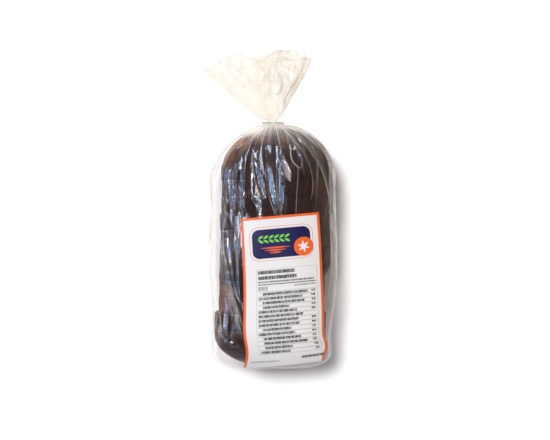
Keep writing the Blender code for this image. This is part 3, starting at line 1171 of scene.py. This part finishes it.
    def folds(self, arc: Array, girth: float, back: Array, field: FoldField) -> Array:
        """Folds that run back from the neck, each a ridge of its own place, width and reach.

        A fold is a bell curve across, bent by a sine along its way. Every third one is long.

        Args:
            arc: Places around the skin, in metres along the full section.
            girth: Length of the full section.
            back: Distances back from the clip.
            field: Takes in the folds' crest lines.

        Returns:
            Heights of the folds.
        """
        draw = np.random.default_rng(self.seed)
        height = np.zeros(np.broadcast(arc, back).shape)
        for index in range(self.fold_count):
            centre = (index + draw.uniform(-0.4, 0.4)) * girth / self.fold_count
            width = self.fold_width * draw.uniform(*self.width_range)
            tall = self.fold_height * draw.uniform(*self.height_range)
            reach = draw.uniform(*(self.short_reach if index % 3 else self.long_reach))
            drift = draw.uniform(-self.drift, self.drift)
            bend = draw.uniform(-self.bend, self.bend)
            middle = centre + drift * back + bend * np.sin(back / 0.018 + index)
            beside = (arc - middle + girth / 2) % girth - girth / 2
            fade = smooth((reach - back) / (0.4 * reach))
            height += tall * fade * np.exp(-(1.6 * beside / width) ** 2)
            field.add(beside, self.fold_veil * fade * tall / self.fold_height)
        return height

    def crumples(self, push: Array, across: Array, back: Array, around: Array, upper: Array,
                 knot: Array) -> Array:
        """Thin out the folds over the crown, and add creased noise, broad and fine, and in the knot.

        The noise counts for 0.12 of its height on the crown and fully along the sides.

        Args:
            push: Heights of the folds.
            across: Places across.
            back: Distances back from the clip.
            around: Places around the skin, in cells of the noise.
            upper: Where the skin lies above the pack's axis.
            knot: Shares of the crumpled knot, from 0 to 1.

        Returns:
            The new heights.
        """
        rough = self.crumple * creased_noise(around * 0.5, back / 0.026 + 0.3 * around, self.seed + 1)
        rough = rough + self.fine_crumple * creased_noise(around * 1.5, back / 0.009, self.seed + 2)
        worn = smooth((np.abs(across) - 0.040) / 0.015) + 0.12
        crown = smooth((self.crown_to - np.abs(across)) / self.side_blend) * smooth((back - 0.016) / 0.02)
        push = push * (1.0 - (1.0 - self.crown_folds) * (crown * upper))
        crush = creased_noise(around * 0.9 + 0.3, back / 0.007 + 0.6 * around, self.seed + 4)
        return push + rough * worn + self.knot_height * crush * knot

    def lay_lines(self, push: Array, across: Array, back: Array, upper: Array,
                  lines: dict[LineKind, FoldField]) -> tuple[Array, Array, Array]:
        """Add the creases' ridges, and put each leaf's facet in the place of what lies under it.

        Args:
            push: Heights so far.
            across: Places across.
            back: Distances back from the clip.
            upper: Where the skin lies above the pack's axis.
            lines: Take in the creases' crests and the leaves' outlines.

        Returns:
            The new heights, the milkiness inside the leaves, which paints a highlight, and how much fine
            streaking is left.
        """
        veil, calm = np.zeros_like(push), np.ones_like(push)
        for crease in self.creases:
            ridge, beside, crest = crease.lay(across, back)
            push = push + np.where(upper, ridge, 0.0)
            lines[LineKind.CREASE].add(beside, np.where(upper, crest, 0.0))
        for leaf in self.leaves:
            shape, inside, outline, edge, fill = leaf.lay(across, back)
            inside = np.where(upper, inside, 0.0)
            push = push * (1.0 - inside) + shape * inside
            # The leaves' fill enters the veil as a painted highlight.
            veil = np.maximum(veil * (1.0 - inside), fill * inside)
            for line in lines.values():
                line.clear(inside)
            lines[LineKind.LEAF].add(outline, np.where(upper, edge, 0.0))
            calm = np.minimum(calm, 1.0 - self.leaf_calm * inside)
        return push, veil, calm

    def outwards(self, back: Array, turn: Array, step: float = 1e-4) -> tuple[Array, Array, Array]:
        """Normals of the smooth sections, square to the line between points a step to each side.

        Args:
            back: Distances back from the clip.
            turn: Turns about the pack's axis.
            step: Turn from each point to its neighbours.

        Returns:
            The normals' parts across and upwards, and their lengths.
        """
        ahead_x, ahead_z = self.form.section(back, turn + step)
        behind_x, behind_z = self.form.section(back, turn - step)
        normal_x, normal_z = ahead_z - behind_z, behind_x - ahead_x
        return normal_x, normal_z, np.hypot(normal_x, normal_z) + 1e-12

    def milk(self, across: Array, back: Array, upper: Array, knot: Array, veil: Array,
             calm: Array) -> dict[str, Array]:
        """Milkiness, which fades away from the neck and one shoulder, and the strength of streaks.

        Args:
            across: Places across, after the push.
            back: Distances back from the clip.
            upper: Where the skin lies above the pack's axis.
            knot: Shares of the crumpled knot.
            veil: Milkiness inside the leaves, a painted highlight.
            calm: How much fine streaking the leaves leave.

        Returns:
            The mesh attributes veil and streaks.
        """
        from_neck = back - self.form.neck_half_length
        veil = veil + self.neck_veil * np.exp(-from_neck / self.neck_veil_reach)
        shoulder = spot_distance(across, back, self.shoulder_place, self.shoulder_size)
        veil = veil + self.shoulder_veil * np.exp(-shoulder) * upper
        sides = smooth((np.abs(across) - self.sides_from) / self.side_blend)
        streaks = self.least_streaks + self.neck_streaks * np.exp(-from_neck / self.neck_streaks_reach)
        streaks = streaks + self.side_streaks * sides + self.knot_streaks * knot
        streaks = np.clip(streaks, 0.0, 1.2) * calm
        return {"veil": np.clip(veil, 0.0, 0.9), "streaks": np.broadcast_to(streaks, across.shape)}

    def build(self) -> bpy.types.Object:
        """Build the film: the smooth skin, pushed out by folds and crumples, with facets between.

        Returns:
            The film's object.
        """
        form = self.form
        middle = np.array(form.length / 2)
        turns = spaced_turns(lambda t: np.stack(form.section(middle, t), axis=-1),
                             self.columns, self.base_share)
        back, turn = self.stations()[:, None], turns[None, :]
        across, height = form.section(back, turn)
        upper = height > form.neck.z
        ring = np.stack(form.section(middle, turns), axis=-1)
        steps = np.linalg.norm(ring - np.roll(ring, 1, axis=0), axis=1)
        arc, girth = (np.cumsum(steps) - steps[0])[None, :], float(steps.sum())
        knot = np.exp(-spot_distance(across, back, self.knot_place, self.knot_size) ** 2) * upper
        lines = {kind: FoldField.empty(kind, across.shape) for kind in LineKind}
        push = self.folds(arc, girth, back, lines[LineKind.FOLD])
        push = self.crumples(push, across, back, arc / girth * LATTICE_CELLS, upper, knot)
        push, veil, calm = self.lay_lines(push, across, back, upper, lines)
        push = push * smooth(form.sizes(back)[1] / self.full_push_width)
        push = np.where(back < form.length - self.flat_end, push, 0.0)
        normal_x, normal_z, size = self.outwards(back, turn)
        across = across + push * normal_x / size
        height = np.maximum(height + push * normal_z / size, self.ground_gap)
        radius = girth / math.tau
        angle = arc / radius
        skin = np.stack(np.broadcast_arrays(radius * np.cos(angle), radius * np.sin(angle), back), axis=-1)
        points = form.neck.world(across, np.broadcast_to(back, across.shape), height)
        attributes = self.milk(across, back, upper, knot, veil, calm)
        for line in lines.values():
            attributes.update(line.attributes())
        sheet = Sheet("film_body", points, close_last=True, attributes=attributes, skin=skin)
        return settle(sheet.build(self.material), Slot.FILM, Node.BAG)


@dataclass
class FanFilm:
    """The loose film beyond the clip: a flattened, ruffled tube with an open mouth.

    Angles run from the pack's axis, to the left and right rims. Each rim bump has its place
    and half width in degrees, and its rise. The front layer's rim is set back round one place.
    """

    form: BagForm
    material: bpy.types.Material
    rows: int = 110
    columns: int = 440
    left_angle: float = math.radians(53.2)
    right_angle: float = math.radians(31.6)
    left_swell: float = math.radians(8.0)
    right_swell: float = math.radians(3.2)
    neck_bulge: float = 0.0048
    reach: float = 0.0738
    left_extra: float = 0.0132
    half_depth: float = 0.0120
    droop: float = 0.016
    ruffle_height: float = 0.0055
    ruffles: float = 3.2
    fold_count: int = 20
    fold_height: float = 0.0080
    crumple: float = 0.0050
    fine_crumple: float = 0.0005
    front_setback: float = 0.0125
    front_turn: float = -14.0
    front_half_turn: float = 15.0
    rim_bumps: tuple[tuple[float, float, float], ...] = (
        (-7.3, 2.2, -0.0022), (16.4, 2.8, 0.0046), (22.0, 2.6, -0.0030))
    veil: float = 0.020
    row_crowding: float = 1.2
    wander: float = 0.06
    neck_veil: float = 0.36
    neck_veil_reach: float = 0.10
    fold_veil: float = 0.34
    rim_veil: float = 0.90
    rim_from: float = 0.984
    # Grey milky clouds at the right, a painted shade of the folds.
    painted_shade_veil: float = 0.42
    girth: float = 0.440
    seed: int = 23

    def folds(self, place: Array, share: Array) -> tuple[Array, Array]:
        """Sharp folds that run out from the neck, taller and closer on the right.

        Args:
            place: Places round the tube, from 0 to 1.
            share: Shares of the way from the clip to the mouth.

        Returns:
            Heights of the folds, and how milky their crests are.
        """
        draw = np.random.default_rng(self.seed)
        height = np.zeros(np.broadcast(place, share).shape)
        crest = np.zeros_like(height)
        for _ in range(self.fold_count):
            centre = draw.uniform(0.0, 1.0)
            rightness = 0.5 + 0.5 * math.cos(math.tau * centre)
            width = draw.uniform(0.018, 0.045) * (1.5 - 0.7 * rightness)
            tall = self.fold_height * draw.uniform(-1.0, 1.0) * (0.30 + 0.75 * rightness)
            start = draw.uniform(0.0, 0.35)
            drift = draw.uniform(-0.06, 0.06)
            bend = draw.uniform(-0.012, 0.012)
            middle = centre + drift * share + bend * np.sin(4.0 * share + 5.0 * centre)
            beside = np.abs((place - middle + 0.5) % 1.0 - 0.5) / width
            grown = smooth((share - start) / 0.5)
            height += tall * grown * np.clip(1.0 - beside, 0.0, None)
            line = np.exp(-(beside * width / 0.0016) ** 2)
            crest = np.maximum(crest, self.fold_veil * line * grown * abs(tall) / self.fold_height)
        return height, crest

    def spread(self, share: Array, turn: Array) -> tuple[Array, Array]:
        """Where each ring's points lie, as an angle from the axis and a radius from the clip.

        The angle runs from the left rim to the right as the cosine of the turn, with a small
        wander on both layers. The radius is the share of a reach that grows to the left, with
        bumps on the back layer's rim and a setback on the front layer's.

        Args:
            share: Shares of the way from the clip to the mouth.
            turn: Turns round the tube, from the right.

        Returns:
            The angles and the radii.
        """
        cosine, sine = np.cos(turn), np.sin(turn)
        left = self.left_angle + self.left_swell * (1.0 - share)
        right = self.right_angle + self.right_swell * (1.0 - share ** 6)
        leftness = 0.5 - 0.5 * cosine
        wander = self.wander * np.sin(9.0 * turn + 0.8) * sine ** 2 * (1.0 - 0.7 * leftness) * share
        angle = (right - left) / 2 + (right + left) / 2 * (cosine + wander)
        degrees = np.degrees(angle)
        reach = self.reach + self.left_extra * leftness ** 2
        for centre, half_turn, rise in self.rim_bumps:
            reach = reach + rise * np.exp(-((degrees - centre) / half_turn) ** 2) * (sine < 0.0)
        front = smooth(sine / 0.5) * np.exp(-((degrees - self.front_turn) / self.front_half_turn) ** 2)
        return angle, share * (reach - self.front_setback * front)

    def milk(self, place: Array, share: Array, leftness: Array, bent: Array, crest: Array) -> Array:
        """Milkiness: strong at the neck, along the rim and on the crests, and in grey clouds at the right
        that paint the soft shade of folds.

        Args:
            place: Places round the tube, from 0 to 1.
            share: Shares of the way from the clip to the mouth.
            leftness: 0 at the right and 1 at the left.
            bent: Noise that bends the clouds.
            crest: Milkiness of the folds' crests.

        Returns:
            Shares from 0 to 0.9.
        """
        veil = self.veil + crest + self.neck_veil * np.exp(-share / self.neck_veil_reach)
        veil = veil + self.rim_veil * smooth((share - self.rim_from) / (1.0 - self.rim_from))
        # Grey clouds of milk at the right paint the soft shade of the folds.
        painted_shade_clouds = lattice_noise(place * 22.0 + bent, share * 4.5 + bent, self.seed + 5)
        painted_shade_clouds = smooth((painted_shade_clouds - 0.05) / 0.45)
        veil = veil + self.painted_shade_veil * painted_shade_clouds * (1.0 - leftness) ** 0.7 * smooth(share / 0.2)
        return np.clip(veil, 0.0, 0.9)

    def build(self) -> bpy.types.Object:
        """Build the fan: rings that open from the neck, spread by angle and ruffled across.

        A point's height falls with the share squared, with half the tube's depth, the ruffle,
        the folds and the crumples added. Film this thin lets nearly all light through, so it
        casts no shadow on the ground.

        Returns:
            The fan's object.
        """
        form = self.form
        share = np.linspace(0.0, 1.0, self.rows)[:, None] ** self.row_crowding
        place = np.arange(self.columns)[None, :] / self.columns
        turn = math.tau * place
        cosine, sine = np.cos(turn), np.sin(turn)
        leftness = 0.5 - 0.5 * cosine
        angle, radius = self.spread(share, turn)
        opening = np.minimum(1.0, share * 1.35) ** 0.75
        depth = form.neck_radius + (self.half_depth - form.neck_radius) * opening
        ruffle = self.ruffle_height * np.sin(math.pi * self.ruffles * leftness + 0.5)
        raised, crest = self.folds(place, share)
        bent = 0.7 * lattice_noise(place * 17.0, share * 4.0, self.seed + 3)
        rough = self.crumple * creased_noise(place * 30.0 + bent, share * 5.5 + bent, self.seed + 1)
        finer = creased_noise(place * 80.0 + 2.0 * bent, share * 15.0, self.seed + 2)
        rough = rough + self.fine_crumple * finer
        rough = rough * (1.0 - 0.80 * leftness) * smooth(share / 0.5)
        height = form.neck.z - self.droop * share ** 2 + depth * signed_power(sine, 0.8)
        height = height + share * ruffle + raised + rough
        across = form.neck_radius * cosine * (1.0 - share) + radius * np.sin(angle)
        bulge = self.neck_bulge * smooth(share / 0.05) * (1.0 - smooth(share / 0.7))
        across = across + bulge * cosine * (0.35 + 0.65 * leftness)
        out = form.neck_half_length + radius * np.cos(angle)
        veil = np.broadcast_to(self.milk(place, share, leftness, bent, crest), height.shape)
        streaks = np.broadcast_to(0.9 - 0.6 * leftness, height.shape)
        round_radius = self.girth / math.tau
        skin = np.broadcast_arrays(round_radius * cosine, round_radius * sine, share * self.reach)
        skin = np.stack(skin, axis=-1)
        points = form.neck.world(across, -out, height)
        sheet = Sheet("film_fan", points, attributes={"veil": veil, "streaks": streaks}, skin=skin)
        piece = sheet.build(self.material)
        piece.visible_shadow = False
        return settle(piece, Slot.FILM, Node.BAG)


@dataclass
class Loaf:
    """The sliced loaf: a rounded crown, round ends, and slices that have slid a little.

    Each group of slices has the number after its last slice, its shift and its width. The
    taper slice runs from the shift and width of the group before it to its own.
    """

    form: BagForm
    material: bpy.types.Material
    start: float = 0.0055
    end: float = 0.2430
    half_width: float = 0.0555
    crown: float = 0.0462
    base: float = 0.0434
    crown_power: float = 2.75
    base_power: float = 5.0
    start_taper: float = 0.042
    end_taper: float = 0.033
    base_taper: float = 0.020
    slice_count: int = 14
    first_cut: float = 0.0255
    pitch: float = 0.0164
    kerf: float = 0.00006
    edge_radius: float = 0.00025
    columns: int = 200
    crust_rows: int = 15
    face_rings: tuple[float, ...] = (0.12, 0.45, 0.75, 0.93, 0.985)
    end_gap: float = 0.0002
    end_crowding: float = 1.9
    relief: float = 0.00035
    seed: int = 5
    groups: tuple[tuple[int, float, float], ...] = (
        (5, 0.0044, 1.0), (8, 0.0026, 0.995), (11, -0.0012, 0.945), (14, -0.0030, 1.0))
    heel_reach: float = 0.038
    tail_heel: float = 0.45
    # The next two paint light and shade: the heels' colour over the left flank, and where it fades out
    # towards the right.
    flank_painted_light: float = 0.30
    painted_shade_start: float = 0.008
    taper_slice: int = 8
    worn_place: Place = (-0.0480, 0.175)
    worn_size: Place = (0.0075, 0.0150)

    def slide(self, index: int) -> tuple[float, float]:
        """How far a slice has slid across, and how wide it looks, by the group it lies in."""
        _, shift, width = next(group for group in self.groups if index < group[0])
        return shift + 0.0005 * math.sin(2.3 * index + 0.4), width

    def section(self, back: Array, turn: Array) -> tuple[Array, Array]:
        """Places across and heights on the whole loaf's crust, before its slices slide.

        The section is a superellipse with one power above the axis and one below, its sizes
        rounded at both ends, and a little narrower towards the base.

        Args:
            back: Distances back from the clip.
            turn: Turns about the loaf's axis, from +X over the crown.

        Returns:
            Places across, and heights above the ground.
        """
        from_start, from_end = back - self.start, self.end - back
        plan = rounding(from_start, self.start_taper, 2.0) * rounding(from_end, self.end_taper, 2.0)
        rise = rounding(from_start, self.start_taper, 2.0) * rounding(from_end, self.end_taper + 0.006, 2.0)
        fall = rounding(from_start, self.base_taper, 2.0) * rounding(from_end, self.base_taper, 2.0)
        cosine, sine = np.cos(turn), np.sin(turn)
        power = 2.0 / np.where(sine >= 0.0, self.crown_power, self.base_power)
        across = self.half_width * plan * signed_power(cosine, power)
        narrow = 1.0 - 0.035 * np.clip(-sine, 0.0, 1.0)
        tall = np.where(sine >= 0.0, self.crown * rise, self.base * fall)
        return across * narrow, self.form.neck.z + tall * signed_power(sine, power)

    def slice_points(self, index: int, turns: Array) -> tuple[Array, Array, Array]:
        """Points of one slice: rings from the middle of its near face, over its crust, to its far face.

        The rings are the loaf's section scaled about its axis, swollen by noise on the crust,
        dished by noise on the cut faces, and then slid and narrowed with their group.

        Args:
            index: The slice's number from the neck end.
            turns: Turns of the points of each ring.

        Returns:
            The points, how much each is cut crumb, and how much of the heels' colour each takes, which on the
            left flank is painted light and fades to the right as painted shade.
        """
        first, last = index == 0, index == self.slice_count - 1
        near = self.first_cut + (index - 1) * self.pitch + self.kerf / 2
        far = self.first_cut + index * self.pitch - self.kerf / 2
        share = np.linspace(0.0, 1.0, self.crust_rows)
        if first:
            near = self.start + self.end_gap
            share = share ** self.end_crowding
        if last:
            far = self.end - self.end_gap
            share = 1.0 - (1.0 - share) ** self.end_crowding
        rim = near + (far - near) * share
        shrink = np.ones_like(rim)
        lip = self.edge_radius / self.half_width
        if not first:
            shrink = shrink - lip * (share < 0.01)
        if not last:
            shrink = shrink - lip * (share > 0.99)
        faces = np.array(self.face_rings)
        rings = len(faces)
        back = np.concatenate((np.full(rings, near), rim, np.full(rings, far)))
        scale = np.concatenate((faces, shrink, faces[::-1]))
        crumb = np.concatenate((np.ones(rings), np.zeros(self.crust_rows), np.ones(rings)))
        if first:
            back, scale, crumb = back[rings:], scale[rings:], crumb[rings:]
        if last:
            back, scale, crumb = back[:-rings], scale[:-rings], crumb[:-rings]
        back, scale, crumb = back[:, None], scale[:, None], crumb[:, None]
        turn = turns[None, :]
        across, height = self.section(back, turn)
        middle_z = self.form.neck.z
        around = turn / math.tau * LATTICE_CELLS
        bumps = lattice_noise(around * 1.0, back / 0.006, self.seed)
        bumps = bumps + 0.5 * lattice_noise(around * 3.0, back / 0.002, self.seed + 1)
        own = 1.0 + 0.004 * lattice_noise(around * 0.25, np.full_like(around, index * 3.7), self.seed + 2)
        swell = own + self.relief * bumps / self.half_width
        keep_flat = np.where(height < 0.004, 1.0, swell)
        across = across * scale * swell
        height = middle_z + (height - middle_z) * scale * keep_flat
        dish = 0.0004 * (1.0 - scale) * lattice_noise(around, scale * 6.0, self.seed + index)
        spot = back + dish * np.where(back < (near + far) / 2, 1.0, -1.0)
        shift, width = self.slide(index)
        if index == self.taper_slice:
            last_shift, last_width = self.slide(index - 1)
            blend = smooth((spot - near) / (far - near))
            shift = last_shift + (shift - last_shift) * blend
            width = last_width + (width - last_width) * blend
        across = across * width + shift + 0.004 * (spot - near) * math.sin(1.7 * index)
        # The heels' colour reaches further back on the left.
        reach = self.heel_reach * (1.0 + 0.7 * smooth((-across - 0.020) / 0.025))
        heel_and_painted_light = np.clip(1.0 - (spot - self.start) / reach, 0.0, 1.0)
        heel_and_painted_light = np.maximum(heel_and_painted_light, self.tail_heel * np.clip(1.0 - (self.end - spot) / self.heel_reach, 0.0, 1.0))
        # Painted light: the left flank takes the heels' colour.
        heel_and_painted_light = np.maximum(heel_and_painted_light, self.flank_painted_light * smooth((-across - 0.040) / 0.012))
        # Painted shade: right of the middle that colour fades out.
        heel_and_painted_light = heel_and_painted_light * (1.0 - 0.8 * smooth((across - self.painted_shade_start) / 0.015))
        worn = spot_distance(across, spot, self.worn_place, self.worn_size)
        crumb = np.maximum(crumb, 0.9 * smooth((1.25 - worn) / 0.6) * (height > middle_z))
        return self.form.neck.world(across, spot, height), crumb, heel_and_painted_light

    def build(self) -> list[bpy.types.Object]:
        """Build every slice as its own piece.

        Returns:
            The slices' objects, from the neck end.
        """
        middle = np.array((self.start + self.end) / 2)
        turns = spaced_turns(lambda t: np.stack(self.section(middle, t), axis=-1), self.columns)
        pieces = []
        for index in range(self.slice_count):
            points, crumb, heel_and_painted_light = self.slice_points(index, turns)
            sheet = Sheet(f"slice_{index + 1:02d}", points, close_first=True, close_last=True,
                          attributes={"crumb": crumb, "heel_and_painted_light": heel_and_painted_light})
            pieces.append(settle(sheet.build(self.material), Slot.CRUST, Node.BAG))
        return pieces


@dataclass
class Label:
    """The printed label, a thin sheet that follows the crown and the rounded bottom end."""

    form: BagForm
    material: bpy.types.Material
    top_left: Place = (-0.0310, 0.0965)
    top_right: Place = (0.0440, 0.0898)
    bottom_left: Place = (-0.0300, 0.2415)
    bottom_right: Place = (0.0495, 0.2350)
    lift: float = 0.0006
    thickness: float = 0.0003
    left_swell: float = 0.0034
    right_swell: float = 0.0034
    swell_row: float = 0.90
    left_wave: float = 0.0024
    right_wave: float = 0.0012
    ripple: float = 0.00045
    rows: int = 120
    columns: int = 64

    def surface(self, column: Array, row: Array, lift: float) -> Array:
        """Points of one side of the label: corners blended across and down, laid on the skin.

        Args:
            column: Shares of the way across, from the left.
            row: Shares of the way down, from the top.
            lift: Height above the smooth skin.

        Returns:
            The points.
        """
        top = [(1 - column) * a + column * b for a, b in zip(self.top_left, self.top_right)]
        bottom = [(1 - column) * a + column * b for a, b in zip(self.bottom_left, self.bottom_right)]
        left = self.left_swell * np.exp(-((row - self.swell_row) / 0.10) ** 2)
        left = left + self.left_wave * np.sin(math.pi * row)
        right = self.right_swell * np.exp(-((row - self.swell_row) / 0.055) ** 2)
        right = right + self.right_wave * np.sin(math.pi * row)
        across = (1 - row) * top[0] + row * bottom[0] + (1 - column) * left + column * right
        back = (1 - row) * top[1] + row * bottom[1]
        step = 0.0004
        height = self.form.crown_surface(across, back)
        slope_x = (self.form.crown_surface(across + step, back)
                   - self.form.crown_surface(across - step, back)) / (2 * step)
        slope_y = (self.form.crown_surface(across, back - step)
                   - self.form.crown_surface(across, back + step)) / (2 * step)
        normal = np.stack((-slope_x, -slope_y, np.ones_like(height)), axis=-1)
        normal = normal / np.linalg.norm(normal, axis=-1, keepdims=True)
        waves = np.sin(5.2 * column + 3.0 * row) * np.sin(9.0 * row + 2.0 * column + 0.5)
        waves = self.ripple * (1.0 + waves)
        return self.form.neck.world(across, back, height) + normal * (lift + waves)[..., None]

    def build(self) -> bpy.types.Object:
        """Build the label as a closed sheet: over its face, round its edge and back under it.

        Returns:
            The label's object.
        """
        row = 1.0 - (1.0 - np.linspace(0.0, 1.0, self.rows)) ** 1.3
        column = np.linspace(0.0, 1.0, self.columns)
        loop = np.concatenate((column, column[::-1]))[None, :]
        lifted = np.repeat((self.lift + self.thickness, self.lift), self.columns)[None, :]
        loop, lifted, rows = np.broadcast_arrays(loop, lifted, row[:, None])
        points = self.surface(loop, rows, lifted)
        uv = np.stack((loop, 1.0 - rows), axis=-1)
        return settle(Sheet("printed_label", points, uv=uv).build(self.material), Slot.LABEL, Node.LABEL)


@dataclass(frozen=True)
class Panel:
    """A rectangular lamp that faces the pack, its height along the pack, and shows only in gloss."""

    name: str
    tilt_right: float
    tilt_back: float
    width: float
    height: float
    radiance: float
    colour: Colour
    distance: float = 1.2

    def build(self, target: Array) -> None:
        """Place the lamp.

        Args:
            target: The point that it faces.
        """
        aim = np.array((math.tan(math.radians(self.tilt_right)), math.tan(math.radians(self.tilt_back)), 1.0))
        aim = aim / np.linalg.norm(aim)
        data = bpy.data.lights.new(self.name, "AREA")
        data.shape = "RECTANGLE"
        data.size, data.size_y = self.width, self.height
        data.energy = self.radiance * math.pi * self.width * self.height
        data.color = self.colour
        lamp = bpy.data.objects.new(self.name, data)
        lamp.location = (target + aim * self.distance).tolist()
        lamp.rotation_euler = (-math.asin(aim[1]), math.atan2(aim[0], aim[2]), 0.0)
        lamp.visible_diffuse = False
        bpy.context.scene.collection.objects.link(lamp)


@dataclass
class Studio:
    """The ground, the lights and the camera, which looks straight down on the pack."""

    neck: Neck
    view_across: float = 0.002
    view_back: float = 0.0975
    frame_width: float = 0.550
    scale_height: float = 0.044
    camera_rise: float = 1.40
    sensor: float = 36.0
    ground_half: float = 3.0
    panel_target: Place = (0.06, 0.08)
    key_tilt_left: float = 13.5
    key_tilt_back: float = 15.0
    key_strength: float = 3.3
    key_spread: float = 18.0
    sky_cool: Colour = (0.72, 0.75, 0.82)
    sky_warm: Colour = (0.78, 0.635, 0.49)
    sky_high: Colour = (0.10, 0.11, 0.13)
    panels: tuple[Panel, ...] = (
        Panel("window", -25.0, 24.0, 0.11, 1.45, 8.5, (0.18, 0.38, 1.0)),
        Panel("pale_window", -20.0, 24.0, 0.09, 1.45, 16.0, (0.55, 0.75, 1.0)),
        Panel("window_edge", -29.0, 24.0, 0.035, 1.45, 60.0, (0.95, 0.98, 1.0)),
        Panel("lamp", -16.5, 24.0, 0.030, 1.45, 60.0, (1.0, 0.98, 0.95)),
        Panel("side_window", -50.0, 4.0, 0.06, 0.60, 9.0, (0.30, 0.54, 1.0)),
        Panel("flank_window", -68.0, 8.0, 0.16, 1.30, 12.0, (0.28, 0.48, 1.0)),
    )

    def key(self) -> None:
        """Light the pack softly from the upper left; the film's gloss doesn't show this light."""
        data = bpy.data.lights.new("key", "SUN")
        data.energy = self.key_strength
        data.angle = math.radians(self.key_spread)
        data.color = (1.0, 0.985, 0.965)
        light = bpy.data.objects.new("key", data)
        left, back = math.radians(self.key_tilt_left), math.radians(self.key_tilt_back)
        aim = Vector((math.tan(left), -math.tan(back), -1.0))
        light.rotation_euler = aim.to_track_quat("-Z", "Y").to_euler()
        light.visible_glossy = False
        bpy.context.scene.collection.objects.link(light)

    def sky(self) -> None:
        """Light the scene all round: pale low down, cool at the left, warm at the right, dim overhead."""
        world = bpy.data.worlds.new("studio")
        world.use_nodes = True
        nodes, links = world.node_tree.nodes, world.node_tree.links
        nodes.clear()
        place = nodes.new("ShaderNodeTexCoord")
        split = nodes.new("ShaderNodeSeparateXYZ")
        links.new(place.outputs["Generated"], split.inputs[0])
        ramps = []
        for axis, start, end, first, last in (("X", 0.0, 0.8, self.sky_cool, self.sky_warm),
                                              ("Z", 0.25, 0.95, (0.0, 0.0, 0.0), (1.0, 1.0, 1.0))):
            ramp = nodes.new("ShaderNodeValToRGB")
            stops = ramp.color_ramp.elements
            stops[0].position, stops[0].color = start, (*first, 1.0)
            stops[1].position, stops[1].color = end, (*last, 1.0)
            links.new(split.outputs[axis], ramp.inputs[0])
            ramps.append(ramp)
        mix = nodes.new("ShaderNodeMix")
        mix.data_type = "RGBA"
        links.new(ramps[1].outputs[0], mix.inputs[0])
        links.new(ramps[0].outputs[0], mix.inputs[6])
        mix.inputs[7].default_value = (*self.sky_high, 1.0)
        background = nodes.new("ShaderNodeBackground")
        output = nodes.new("ShaderNodeOutputWorld")
        links.new(mix.outputs[2], background.inputs[0])
        links.new(background.outputs[0], output.inputs[0])
        bpy.context.scene.world = world

    def ground(self) -> None:
        """Lay the pale ground under the pack."""
        half = self.ground_half
        corners = [(-half, -half, 0.0), (half, -half, 0.0), (half, half, 0.0), (-half, half, 0.0)]
        mesh = bpy.data.meshes.new("ground")
        mesh.from_pydata(corners, [], [(0, 1, 2, 3)])
        mesh.materials.append(FloorFinish().build())
        floor = bpy.data.objects.new("ground", mesh)
        bpy.context.scene.collection.objects.link(floor)

    def camera(self) -> None:
        """Set the camera over the pack, its frame's width across frame_width at the loaf's waist."""
        data = bpy.data.cameras.new("camera")
        data.sensor_width = self.sensor
        data.lens = self.sensor * self.camera_rise / self.frame_width
        camera = bpy.data.objects.new("camera", data)
        camera.location = (self.neck.x + self.view_across, self.neck.y - self.view_back,
                           self.scale_height + self.camera_rise)
        bpy.context.scene.collection.objects.link(camera)
        bpy.context.scene.camera = camera

    def build(self) -> None:
        """Set up the whole studio."""
        bpy.context.scene.view_settings.view_transform = "Standard"
        self.sky()
        self.ground()
        self.camera()
        self.key()
        target = np.array((self.neck.x, self.neck.y - self.panel_target[0], self.panel_target[1]))
        for panel in self.panels:
            panel.build(target)


def main() -> None:
    """Build the studio and every piece of the pack in order."""
    logging.basicConfig(level=logging.INFO, format="%(message)s")
    neck = Neck.from_clip()
    form = BagForm(neck)
    Studio(neck).build()
    Loaf(form, CrustFinish().build()).build()
    BagFilm(form, FilmFinish("clear_film").build()).build()
    # The loose film's haze is grey, darker than the ground, which gives its clouds their painted shade.
    loose = FilmFinish("loose_film", haze=(0.66, 0.63, 0.60), tint=(0.900, 0.866, 0.808), face_on_gloss=0.024,
                       edge_gloss=0.30, edge_haze=0.34, gloss_roughness=0.22, stretch=0.45, broad_scale=26.0,
                       fine_scale=60.0, broad_line=0.009, fine_line=0.010, relief=0.0010)
    FanFilm(form, loose.build()).build()
    Label(form, LabelFinish().build()).build()
    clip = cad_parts[Node.CLIP.value]
    clip.data.materials.clear()
    clip.data.materials.append(ClipFinish().build())


if __name__ == "__main__":
    main()
